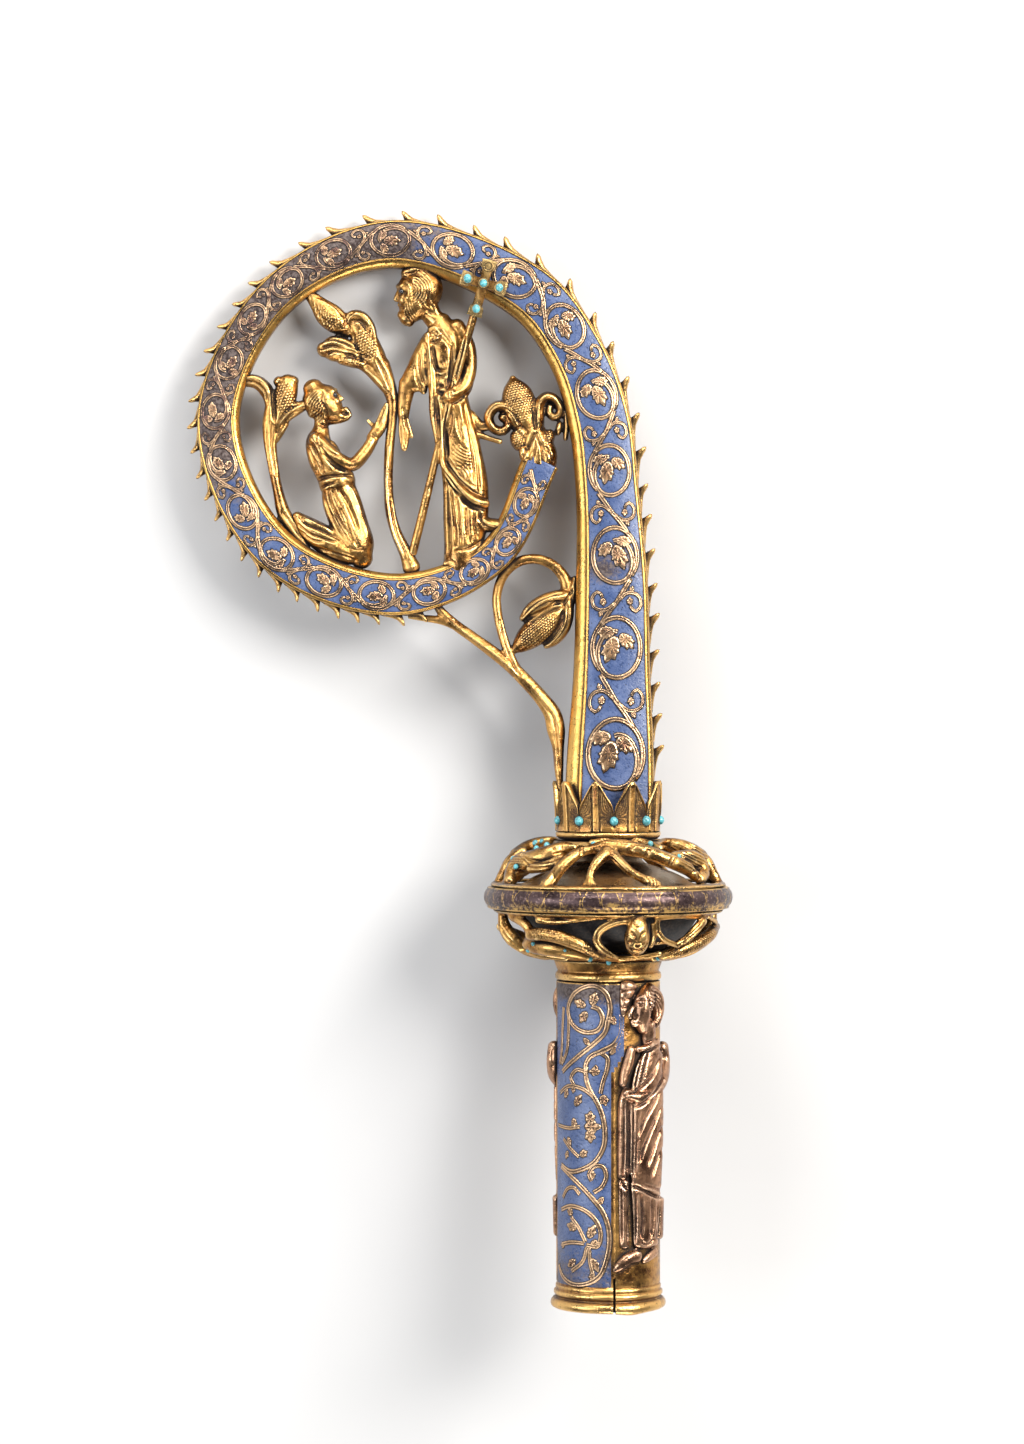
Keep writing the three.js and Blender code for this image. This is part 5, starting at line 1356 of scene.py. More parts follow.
budStrokes = [
    *tool(0.4, -0.6, [(-24.6, 235.8), (-23, 238.6), (-22.1, 241.4)],
          [(-21.4, 235), (-20.6, 238.8), (-20.2, 242)], [(-18.2, 235), (-18.4, 238.6), (-18.9, 241.6)],
          [(-18.4, 247), (-18.4, 251), (-17, 252.8), (-15.2, 251.8), (-15, 250.4)]),
    *tool(0.35, -0.5, [(-15.2, 235.4), (-16.4, 238.6), (-17.6, 240.4)],
          [(-25, 244.4), (-28, 249.2), (-30, 249.2), (-30.9, 248)],
          [(-27.4, 251.2), (-29.8, 252), (-32.4, 250.9), (-34.2, 248)]),
    *tool(0.5, -0.8, [(-23.4, 238.4), (-21.6, 241.4), (-20.3, 243.6), (-19.2, 241.2), (-17.4, 239)],
          [(-24.2, 245), (-26.8, 249.4), (-29.2, 250.2), (-31.6, 249.4), (-31.8, 247.2), (-30.4, 246.2)],
          [(-20.2, 245), (-20.6, 249), (-20, 252.6)]),
    *tool(0.35, -0.45, [(-19.6, 253.6), (-17.4, 255.4), (-14.4, 254.2), (-12.9, 251.6)]),
    *tool(0.5, -0.7, [(-26.9, 244.8), (-24.2, 245.4), (-22.6, 244)]),
    *tool(0.45, -0.7, [(-18.6, 245), (-17, 245.4), (-15.2, 244.6)]),
]
budPatterns = [
    (scaleLift, (-24.9, 252.6), (4.4, 6.6), 14, bud["pitch"], 0.4),
    (scaleLift, (-25.2, 242.0), (2.3, 3.2), 16, bud["pitch"], 0.36),
    (scaleLift, (-16.6, 242.6), (1.7, 2.8), -12, bud["pitch"], 0.34),
]
carvedPiece("bud", budParts(), budStrokes, budPatterns, "gilt", ("terminal_bud",), grain=0.25)

# Stay under the curl

stayStalk = [(-13.4, 144.6, 0, 0.8, 1.2), (-13.8, 150, 0, 1.3, 1.6), (-14, 156, 0, 1.7, 1.9),
             (-14.6, 161, 0, 2.6, 2.1), (-15.6, 165.4, 0, 2.5, 2.1), (-18.6, 169.8, 0, 2.1, 2),
             (-22.6, 174.2, 0, 2, 2), (-27, 178.6, 0, 1.9, 1.9), (-32, 182.6, 0, 1.75, 1.7),
             (-38, 187, 0, 1.55, 1.5), (-43, 190.6, 0, 1.5, 1.4), (-46.8, 194.2, 0, 1.3, 1.2),
             (-48.4, 196.4, 0, 1, 1)]


def stayParts():
    return [
        limb(stayStalk, sides=18),
        flatLimb([(-41.4, 189.4, 1.2, 1.2), (-46, 191.4, 1.2, 1.1), (-51, 192.2, 1, 0.9),
                  (-55.6, 192.6, 0.6, 0.6)]),
        flatLimb([(-23.6, 175, 1.3, 1.5), (-26.8, 180.2, 1.4, 1.4), (-29.2, 186.4, 1.35, 1.35),
                  (-30.8, 193, 1.3, 1.3), (-31.1, 199, 1.3, 1.3), (-28.9, 204.8, 1.4, 1.35),
                  (-24.6, 208.2, 1.45, 1.4), (-19.4, 208.7, 1.45, 1.4), (-14.8, 206.6, 1.55, 1.5),
                  (-11.9, 202.6, 1.8, 1.8), (-11.4, 198.6, 2.3, 2.2), (-12.6, 195.6, 2.4, 2.4)], sides=16),
        flatLimb([(-12, 196.6, 2.4, 2.8), (-15.4, 192.8, 3.5, 3.8), (-19.2, 189.4, 4, 4.2),
                  (-22.6, 186.6, 3.5, 3.6), (-25, 184.4, 2.2, 2.4), (-26.5, 183.1, 0.9, 1.2)], sides=22),
            # cone
        flatLimb([(-11.6, 198.4, 2, 3.4), (-14.6, 198, 2.1, 4), (-18.4, 196.6, 2.2, 4.2),
                  (-21.8, 194.4, 1.9, 3.4), (-24, 192.2, 1, 2.2)], sides=20),
        flatLimb([(-11.2, 197, 1.7, 3.4), (-11.6, 192.4, 1.9, 4), (-12.9, 188.6, 1.8, 3.8),
                  (-15.2, 185.8, 1.4, 3), (-17.4, 184.4, 0.8, 2)], sides=20),
        flatLimb([(-9.4, 203.4, 0.8, 2.4), (-9.8, 200, 1.1, 2.6), (-9.8, 196.6, 0.7, 2.2)]),  # solder
    ]


stayStrokes = [
    *tool(0.35, -0.45, [(-13.6, 150), (-14.2, 158), (-15.4, 164), (-19.4, 169.8), (-25.4, 176.4)],
          [(-24.4, 175.4), (-28.4, 183.6), (-30.2, 191.6)]),
    *tool(0.5, 0.35, [(-14.8, 160), (-17, 166.6), (-22.4, 173.2), (-30, 180.6), (-38, 186.6), (-44.4,
           191.4)]),
    *tool(0.5, -0.9, [(-12.9, 199.2), (-17, 198.6), (-21.4, 196), (-24, 192.8)],
          [(-12.8, 196.6), (-17, 196.2), (-20.8, 193.9), (-23.4, 191.4)],
          [(-12.9, 195.2), (-16, 194.4), (-20.4, 192), (-22.8, 190)],
          [(-12.6, 194.6), (-12.9, 191), (-14.8, 187.6), (-17.6, 185)]),
    *tool(0.45, -0.8, [(-11.2, 195), (-11.5, 190.6), (-13.4, 187), (-15.6, 185)]),
    *tool(0.4, -0.6, [(-9.9, 200.4), (-11.6, 197.4), (-13.2, 195.6)]),
]
stayPatterns = [(scaleLift, (-19.6, 188.7), (6.6, 3.7), 40, 0.85, 0.4)]
carvedPiece("stay", stayParts(), stayStrokes, stayPatterns, "gilt", ("stay",), grain=0.26)

# Knop

knop = {"grain": 0.3, "softening": 3, "stone": 0.72}
knopOuter = np.array([(96.8, 16.6), (97.8, 20.5), (99, 23.6), (101, 27.2), (104, 29.6), (107, 30.9),
                      (110.8, 31.4), (117.4, 32.6), (119, 30.9), (121, 29.6), (123.4, 28.6), (125.5, 27.2),
                      (127.4, 25), (129, 21.8), (130.2, 17.4), (131.2, 11)])


# A stop on the knop as it is seen from the front: x, y, how deep it lies, half width, half depth
def seenOnKnop(x, y, sink, *size):
    radius = np.interp(y, *knopOuter.T) - sink
    share = min(max(x / radius, -1), 1)
    return (radius * share, y, radius * math.sqrt(1 - share**2), *size)


def awayFromAxis(points):
    return unit(points * [1, 0.0, 1])


# Limbs over the front of the knop and, turned half round, over its back
def onKnop(*limbs, step=0.8, sides=14):
    made = []
    for stops in limbs:
        points, faces = limb([seenOnKnop(*stop) for stop in stops], sides, step, awayFromAxis)
        made += [(points, faces), (points * [-1, 1, -1], faces)]
    return made


def carvedTurned(name, parts, strokes, patterns, slot, nodes, material="figureGilt", **melting):
    points, normals, faces = melt(parts, **melting)
    behind = points[:, 2] < 0
    flat = points[:, :2] * np.where(behind[:, None], [-1, 1], [1, 1])
    lift = carvedLift(flat, strokes, patterns, (normals * awayFromAxis(points)).sum(1))
    return finishPiece(makePiece(name, points + normals * lift[:, None], faces, material), slot, *nodes)


knopUpper = onKnop(
    [(-9.8, 128.8, 1.2, 1), (-13, 128.4, 1.4, 2), (-17.2, 126.6, 1.7, 2.6), (-21.2, 125, 2, 2.9),
     (-24.6, 123.6, 2.3, 3.2), (-26.4, 121.2, 1.9, 2.7), (-27.6, 119.2, 1.2, 1.8)],
    [(-21.6, 122.8, 1.2, 1.4), (-17.6, 123.6, 1.2, 1.5), (-13.4, 125.6, 1.2, 1.4)],
    [(-4.4, 128.4, 0.9, 1.3), (-7.4, 127.8, 0.9, 1.4), (-10.6, 126, 0.9, 1.6), (-13.4, 123.4, 0.9, 1.7),
     (-15.6, 120.6, 0.9, 1.8), (-17.4, 118.4, 1, 2.1)],
    [(-5, 128.4, 1, 1.4), (-1.6, 128.8, 0.6, 2.1), (2.4, 128.9, 0.5, 2.3), (6.4, 128.3, 0.5, 2.1),
     (10.4, 127.4, 0.5, 2), (14.2, 126, 0.6, 2), (18, 124.4, 0.8, 2), (21.6, 122.6, 1, 1.9),
     (23.6, 120.8, 1.1, 1.6)],
    [(-5, 130, 2.6, 0.8), (0, 130.5, 2.4, 1.1), (5, 130.6, 2.4, 1.2), (10, 129.9, 2.2, 1),
     (14, 128.4, 1.6, 1)],
    [(-1, 127.4, 0.6, 2), (-3.4, 125.2, 0.7, 1.5), (-5.1, 122.8, 0.8, 1.15), (-5.7, 120.8, 0.8, 1.2)],
    [(-5.6, 121, 0.7, 0.8), (-7, 119.2, 0.8, 0.6), (-7.9, 118, 0.8, 0.5)],
    [(-5.7, 121, 0.5, 0.8), (-5.9, 119.2, 0.5, 0.65), (-5.9, 117.9, 0.5, 0.55)],
    [(-5.5, 121, 0.6, 0.8), (-4.6, 119.2, 0.7, 0.6), (-3.9, 118, 0.7, 0.5)],
    [(0.6, 127, 0.7, 1.7), (3.2, 124.4, 0.7, 1.35), (6, 122, 0.8, 1.2), (8.8, 120.5, 0.8, 1.3),
     (11, 119.6, 0.6, 1.6), (12.8, 118.6, 0.6, 1.3)],
    [(17.4, 126.2, 1.4, 1.4), (20.6, 125.6, 1.4, 2.4), (24, 124.4, 1.4, 2.9), (25.6, 121.8, 1.2, 2.3),
     (25, 119.8, 1, 1.7)],
    [(12.8, 129.2, 1.6, 0.7), (15.8, 129.9, 1, 1.2), (19.2, 129, 0.9, 1.9), (22.8, 127.4, 0.9, 2.3),
     (26, 125.6, 0.9, 2)],
    [(27, 125.4, 0.8, 1.2), (29, 122, 0.9, 1.3), (31, 118.6, 0.8, 1.4)],
    [(-31.4, 117.8, 0.6, 0.7), (-29.4, 118.6, 0.6, 0.6), (-28.6, 119.6, 0.8, 0.5)],
    [(27.2, 127, 1.6, 1.4), (30, 124.4, 0.8, 1.8), (31.8, 120, 0.6, 1.5)],
    [(-27.4, 125.2, 2.4, 1.6), (-29.2, 122.6, 0.9, 1.6), (-30.6, 119.6, 0.6, 1.5)])
knopUpperRings = [
    turnedSkin([(30.4, 117.6), (33, 117.6), (32.9, 118.1), (32.2, 118.6), (30.4, 118.5)]),
    turnedSkin([(9.6, 128.6), (15.6, 128.6), (15.2, 130.1), (9.6, 130.2)]),
]
knopUpperStrokes = [
    *tool(0.35, -0.5, [(-24.6, 126.6), (-21.6, 125.2), (-17, 124.9), (-12.6, 126.8)],
          [(24.4, 121.8), (24.8, 119.8)], [(22.4, 121.4), (24, 122.6), (26.6, 122.4)]),
    *tool(0.35, -0.55, [(-15.4, 126.9), (-13.2, 127.2), (-11.4, 127)]),
    *tool(0.3, -0.4, [(-15.4, 129), (-15.1, 128)], [(-13.2, 129), (-12.9, 128)],
          [(-27.4, 119), (-24.8, 119.3)], [(-17.8, 121), (-19.2, 118.6)]),
    *tool(0.35, -0.4, [(-24.4, 126), (-22.4, 123.8), (-19.4, 123.2), (-16.6, 123.6)],
          [(-27.6, 121.4), (-25, 121.8), (-22.8, 121.6)], [(0.2, 126.2), (3.2, 123), (6.8, 120.4)],
          [(-6.2, 124.6), (-7.2, 121.4), (-7.8, 119)]),
    *tool(0.3, -0.5, [(-8.2, 128.9), (-8.1, 126.6)], [(-7.6, 128.9), (-7.5, 126.8)],
          [(6.6, 129.6), (5.3, 128), (6.3, 126.2)], [(5.9, 129.8), (4.7, 128), (5.6, 126.3)],
          [(9.9, 121), (10.6, 119.6), (10.2, 118.2)], [(11.1, 120.9), (11.7, 119.6), (11.2, 118.2)],
          [(12.3, 120.2), (12.7, 119.2), (12.2, 118.2)]),
    *tool(0.3, -0.55, [(11, 128.6), (9.9, 126)], [(10.4, 128.8), (9.3, 126.2)], [(18, 125.9), (16.7, 123.6)],
          [(17.2, 126.1), (15.9, 123.9)]),
    *tool(0.3, -0.35, [(10.4, 124.8), (13, 124.5)]),
    *tool(0.3, -0.3, [(-15.2, 121.2), (-16.6, 118.8)]),
    *tool(0.35, -0.45, [(17.6, 129.6), (17.2, 128.2)]),
]
knopUpperPatterns = [
    (hatchLift, (23.6, 127.0), (5.6, 2.4), -28, 0.75, 0.3),
                     (hatchLift, (22.8, 124.6), (4.4, 2.2), -30, 0.8, 0.35),
    (scaleLift, (5.0, 130.3), (9.0, 1.3), -4, 0.85, 0.28),
                     (hatchLift, (-25.6, 124.6), (2.6, 2.2), 0, 0.75, 0.28),
    (scaleLift, (29.2, 121.8), (3.6, 1.6), -60, 0.8, 0.22),
                     (scaleLift, (-25.9, 122.9), (2.2, 1.4), 0, 0.8, 0.25),
]
carvedTurned("knop_dragons", knopUpper + knopUpperRings, knopUpperStrokes, knopUpperPatterns, "gilt",
             ("knop_upper",), grain=knop["grain"], softening=knop["softening"])

knopLower = onKnop(
    [(-29.6, 109.6, 0.8, 1.3), (-28.8, 106, 0.8, 1.9), (-26.6, 103, 0.8, 2.2), (-24.4, 100.8, 0.8, 1.6)],
    [(-26.6, 109.8, 1, 1.6), (-23, 107.4, 1, 1.4), (-21.6, 104.8, 1, 1.6), (-22.4, 102, 1, 1.8)],
    [(-21.6, 105, 0.5, 1.9), (-17.2, 105.2, 0.4, 2), (-12.4, 104, 0.4, 1.9), (-8, 102.2, 0.4, 1.8),
     (-4, 100, 0.5, 1.5), (-0.6, 98.6, 0.6, 1), (3, 97.9, 0.6, 0.8)],
    [(-20.6, 101.4, 1, 2.2), (-16, 101.2, 1.1, 2.4), (-11, 100.2, 1, 1.8), (-6, 98.5, 1, 1)],
    [(-24, 100.4, 1, 1.4), (-19.2, 99, 1, 1.2), (-12, 98, 1, 0.8)],
    [(-19.4, 109.2, 0.7, 1.3), (-16.4, 108.6, 0.7, 0.9), (-12, 108.8, 0.7, 0.6), (-6, 109.6, 0.7, 0.6),
     (2, 110.2, 0.7, 0.6)],
    [(5, 109.2, 0.4, 1), (0.6, 108.5, 0.4, 1.1), (-3, 106.4, 0.3, 1.15), (-3.9, 104, 0.3, 1.15),
     (-2.6, 101.6, 0.3, 1.1), (-0.4, 99.8, 0.4, 0.9), (1.6, 98.6, 0.5, 0.8)],
    [(7.4, 109.4, 0.7, 2.2), (7.2, 107.2, 0.1, 3), (7.1, 104.6, -0.3, 3.6), (7, 102.2, -0.1, 3),
     (6.8, 100.6, 0.3, 1.6)],
    [(12.6, 109.4, 0.5, 0.7), (12.9, 106.4, 0.4, 0.8), (14.4, 104, 0.4, 0.8), (16.8, 102.6, 0.4, 0.8),
     (18.6, 101.9, 0.4, 0.8)],
    [(12.6, 109.7, 0.6, 0.7), (18, 109.9, 0.6, 0.6), (26.6, 109.4, 0.6, 0.8)],
    [(25.6, 108.4, 0.5, 1.3), (23.4, 106, 0.4, 1.3), (21.2, 103.8, 0.4, 1.2), (18.4, 102.2, 0.4, 0.9)],
    [(27.4, 109.4, 0.8, 0.7), (29.6, 107.6, 0.8, 0.8), (30.4, 105.8, 0.8, 0.9)],
    [(11.4, 108, 0.9, 0.7), (11.6, 104.4, 0.9, 0.9), (11, 102, 0.9, 0.7)],
    [(14.4, 98.9, 0.7, 1.3), (19.2, 100.2, 0.4, 1.8), (23.6, 101.8, 0.4, 1.9), (27.6, 103.8, 0.4, 1.8),
     (30.2, 106, 0.5, 1.4)],
    [(2.6, 98.3, 0.5, 0.9), (8, 98.6, 0.6, 0.7), (13.6, 99.6, 0.6, 0.8)],
    [(12, 97.8, 1, 0.7), (19, 97.4, 0.8, 0.8), (25.4, 99.2, 0.8, 1.2), (28.8, 102, 0.9, 1.5)],
    [(12.4, 102.8, 0.8, 0.6), (15.2, 102.9, 0.8, 0.6), (18.4, 101.6, 0.8, 0.6)])
knopLowerRings = [
    turnedSkin([(12, 97.3), (17.9, 97.3), (19.8, 97.9), (20.4, 98.5), (12, 98.9)]),
    turnedSkin([(29.4, 109.8), (31.4, 110), (32.1, 110.5), (32.2, 110.95), (29.4, 110.95)]),
]
knopLowerStrokes = [
    *tool(0.3, -0.55, [(4.6, 109.9), (0.4, 109), (-3.4, 106.6), (-4, 103.8), (-2.2, 101.4), (0.6, 99.2)]),
    *tool(0.3, -0.4, [(-29.6, 107.8), (-27.4, 104.8), (-25, 102.4)],
          [(-30, 106), (-28.2, 103.4), (-26, 101.4)], [(-28.2, 108.6), (-26.2, 105.6), (-24, 103)],
          [(-26.6, 107.8), (-24.8, 105.6)], [(12.9, 108.6), (13.3, 105.8), (15.6, 103.4), (18, 102.4)]),
    *tool(0.3, -0.5, [(4.2, 106.8), (4, 104.4), (4.4, 102.4), (6, 101.2), (8.4, 101.2), (10, 103), (10.4,
           105.2), (9.8, 107.6)], [(5.2, 106.4), (6.4, 105.2), (6.9, 103.4)],
          [(9.4, 106.2), (8.2, 105.2), (7.6, 103.6)], [(6.6, 102.6), (7.2, 102.2), (7.9, 102.6)]),
    *tool(0.35, -0.5, [(5.6, 101.4), (7, 100.8), (8.4, 101.5)]),
    *tool(0.45, -0.45, [(4.4, 103.6), (5.6, 103.4)], [(8.8, 103.2), (10, 103.2)]),
    *tool(0.3, -0.35, [(6, 108.4), (7.2, 107.4), (8.6, 108.3)], [(-23.4, 109), (-21.4, 106.6)]),
    *tool(0.28, -0.45, [(25.9, 107.4), (22.8, 104.6), (19.4, 102.3)],
          [(24.8, 108), (21.8, 105.2), (19.4, 103.2)]),
    *tool(0.35, -0.45, [(-20.4, 103.2), (-16, 103.2), (-11, 101.9), (-7, 100.4)]),
    *tool(0.3, -0.3, [(3.4, 98.3), (8, 98.6), (13, 99.5)]),
]
knopLowerPatterns = [
    (scaleLift, (-17.2, 105.0), (5.4, 2.2), -8, 0.72, 0.3),
                     (scaleLift, (-8.2, 102.2), (5.6, 1.9), -26, 0.72, 0.3),
    (scaleLift, (22.6, 101.9), (9.4, 2.1), 24, 0.72, 0.3),
]
carvedTurned("knop_openwork", knopLower + knopLowerRings, knopLowerStrokes, knopLowerPatterns, "gilt",
             ("knop_lower",), grain=knop["grain"], softening=knop["softening"])

knopStones = [(-20.2, 128.3), (-17.3, 129.2), (-4.5, 129.7), (3.6, 131.2), (11.3, 129.7), (19.8, 129.9),
              (21.7, 129.4), (19, 126.3), (-25.8, 123.2), (-26.6, 125.3), (-26, 100.7), (-22.5, 100),
              (-21, 102.2), (-12.4, 100.6), (-5.5, 98.1), (-0.3, 97), (13.3, 98.1), (22.4, 99.8),
              (29.6, 102)]


def makeKnopStones():
    places = np.array([seenOnKnop(x, y, -0.1)[:3] for x, y in knopStones])
    places = np.vstack([places, places * [-1, 1, -1]])
    facing = awayFromAxis(places) + np.stack([0 * places[:, 1], np.where(places[:, 1] > 114, 0.8, -0.7),
                                              0 * places[:, 1]], -1)
    makeStones("knop_stones", places, unit(facing), knop["stone"])


makeKnopStones()
# Painted shade: a near-black core put behind the knop's openwork, where the inside lies in shade
makeTurned("knop_heart", [(8, 99.6), (15, 99.6), (22, 104), (25.4, 109), (25.6, 116.5), (8, 116.6)], "darkJointAndShade",
           "core", "knop_core")
makeTurned("knop_dome", [(8.8, 117.0), (25.0, 117.0), (24.6, 117.8), (22.8, 118.6), (21.2, 119.8),
                         (18.2, 121.2), (14.2, 122.6), (10.4, 123.8), (9.4, 124.6), (9.2, 130.2),
                         (8.8, 130.2)], "coreMetal", "core", "knop_core")


# Dark band of the knop, with pairs of thin gilt arcs scratched round it
def bandMaterial():
    material, tree, place, shader = newMaterial("bandScratched")
    look = gilding["bandMetal"]
    parts = [addNode(tree, "ShaderNodeAttribute", attribute_name=name).outputs["Fac"] for name in ("east",
                                                                                                   "north",
                                                                                                   "high")]
    east, north, high = parts
    turnAt = mathNode(tree, "ARCTAN2", east, north)
    cloud = noiseOf(tree, place, 6, 4.0, 0.6)
    speck = noiseOf(tree, place, 0.9, 3.0, 0.7)
    pairs = 40.0
    cell = mathNode(tree, "MULTIPLY_ADD", turnAt, pairs / (2 * math.pi), pairs)
    cell = mathNode(tree, "MULTIPLY_ADD", mathNode(tree, "SUBTRACT", cloud, 0.5), 0.5, cell)
    inCell = mathNode(tree, "SUBTRACT", mathNode(tree, "FRACT", cell), 0.5)
    bow = mathNode(tree, "MULTIPLY_ADD", mathNode(tree, "MULTIPLY", high, high), 0.19, 0.045)
    offArc = mathNode(tree, "ABSOLUTE", mathNode(tree, "SUBTRACT", mathNode(tree, "ABSOLUTE", inCell), bow))
    arc = stretch(tree, offArc, 0.012, 0.034, 1.0, 0.0)
    arc = mathNode(tree, "MULTIPLY", arc, stretch(tree, speck, 0.42, 0.54, 0.0, 0.85))
    edge = stretch(tree, mathNode(tree, "ABSOLUTE", high), 0.84, 0.96)
    edge = mathNode(tree, "MULTIPLY", edge, stretch(tree, mathNode(tree, "MULTIPLY_ADD", speck, 0.5, cloud),
                                                    0.66, 0.8))
    worn = mathNode(tree, "MULTIPLY", stretch(tree, mathNode(tree, "MULTIPLY_ADD", high, -0.32, cloud), 0.62,
                                              0.8), stretch(tree, speck, 0.42, 0.56))
    gilt = mathNode(tree, "MAXIMUM", mathNode(tree, "MAXIMUM", arc, edge),
                    mathNode(tree, "MULTIPLY", worn, 0.8))
    tone = mixColours(tree, stretch(tree, cloud, 0.35, 0.65), look["dull"], look["plain"])
    tone = mixColours(tree, stretch(tree, speck, 0.5, 0.75), tone, look["bright"])
    tone = mixColours(tree, gilt, tone, (0.70, 0.43, 0.13))
    rough = stretch(tree, cloud, 0.3, 0.7, 0.24, 0.42)
    bump = addNode(tree, "ShaderNodeBump", {"Strength": 0.4, "Distance": 0.0002, "Height": speck})
    plug(tree, shader, colour=tone, roughness=rough, metallic=0.75, normal=bump.outputs[0])
    return material


def makeBand():
    profile = [(27.6, 111.2), (33.0, 111.15), (33.7, 111.4), (33.9, 111.8), (33.8, 112.1), (34.3, 112.5),
               (34.65, 113.3), (34.8, 114.3), (34.7, 115.3), (34.35, 116.1), (33.85, 116.6), (33.9, 116.9),
               (33.5, 117.2), (27.6, 117.3)]
    points, faces = turnedSkin(profile, 220)
    piece = makePiece("knop_band", points, faces, "bandMetal")
    piece.data.materials.clear()
    piece.data.materials.append(bandMaterial())
    radius = np.hypot(points[:, 0], points[:, 2])
    values = {"east": points[:, 0] / radius, "north": points[:, 2] / radius,
              "high": (points[:, 1] - 114.3) / 3.0}
    for name, value in values.items():
        addValues(piece, name, value)
    return finishPiece(piece, "dark_band", "knop_band")


makeBand()

# Collar of leaves

collar = {"leaves": 9, "first": 5, "foot": 132.75, "valley": 137.2, "tip": 146.8, "radius": 14.5,
          "lean": 0.85, "bore": 13.3, "stoneHeight": 135.8}
leafArch = [(0, 1.0), (0.1, 0.975), (0.25, 0.88), (0.45, 0.70), (0.65, 0.52), (0.82, 0.38), (0.92, 0.26),
            (1.0, 0.0)]


# One leaf about x, one unit being a millimetre: u across in degrees and v up it from 0 to 1
def collarLeaf():
    across, rise = np.linspace(-1, 1, 61), np.linspace(0, 1, 40)
    half = 180 / collar["leaves"]
    outer, inner = [], []
    for u in across:
        top = collar["valley"] + (collar["tip"] - collar["valley"]) * np.interp(abs(u),
                                                                                *np.array(leafArch).T)
        y = collar["foot"] + (top - collar["foot"]) * rise
        share = (y - collar["foot"]) / (collar["tip"] - collar["foot"])
        radius = collar["radius"] + collar["lean"] * share**1.5
        edge = (top - y) / 1.0
        rim = np.exp(-(((edge - 0.35) / 0.4) ** 2)) * 0.16 * (share > 0.36)
        midrib = 0.30 * np.clip((0.17 - abs(u)) / 0.03, 0,
                                1) - 0.5 * np.exp(-(((abs(u) - 0.215) / 0.04) ** 2))
        fan = (abs(u) - 0.17) / (0.22 + 0.95 * np.clip(share, 0.05, 1)) * 7.5
        ribs = -0.46 * (0.5 + 0.5 * np.cos(2 * math.pi * fan)) ** 1.5
        ribs = ribs * (abs(u) > 0.24) * np.clip(share * 8 - 0.4, 0, 1)
        radius = radius + rim + midrib * (edge > 0.5) + ribs * np.clip(edge * 1.6 - 0.9, 0, 1)
        angle = math.radians(u * half)
        outer.append([(r * math.cos(angle), r * math.sin(angle), h) for r, h in zip(radius, y)])
        inner.append([(collar["bore"] * math.cos(angle), collar["bore"] * math.sin(angle), h - 0.25 * s)
                      for h, s in zip(y, rise)])
    rings = np.concatenate([np.array(outer), np.array(inner)[:, ::-1]], 1)
    return skin(rings)


def makeCollar():
    number = collar["leaves"]
    turnsAt = np.radians(collar["first"] + 180 / number + 360 / number * np.arange(number))
    ahead = np.stack([np.sin(turnsAt), 0 * turnsAt, np.cos(turnsAt)], -1)
    places = np.zeros((number, 3))
    up = np.tile([0.0, 1.0, 0.0], (number, 1))
    piece = scatter("leaf_collar", collarLeaf(), places, ahead, up, np.ones(number), "gilt", 0.0, 3)
    finishPiece(piece, "gilt", "leaf_collar")
    turnsAt = np.radians(collar["first"] + 360 / number * np.arange(number))
    facing = np.stack([np.sin(turnsAt), 0 * turnsAt, np.cos(turnsAt)], -1)
    places = facing * (collar["radius"] + 0.1) + [0, collar["stoneHeight"], 0]
    makeStones("collar_stones", places, facing, 1.15, [f"collar_bead_{k + 1}" for k in range(number)])


makeCollar()

# Robed figures on the socket

figure = {"grain": 0.26}


# A stop on the socket as it is seen from the front: x, y, how far off the wall, half sizes
def seenOnSocket(x, y, off, *size):
    radius = socket["radius"] + off
    share = min(max(x / radius, -0.999), 0.999)
    return (radius * share, y, radius * math.sqrt(1 - share**2), *size)


def onWall(*limbs, sides=16):
    return [limb([seenOnSocket(*stop) for stop in stops], sides, 0.7, awayFromAxis) for stops in limbs]


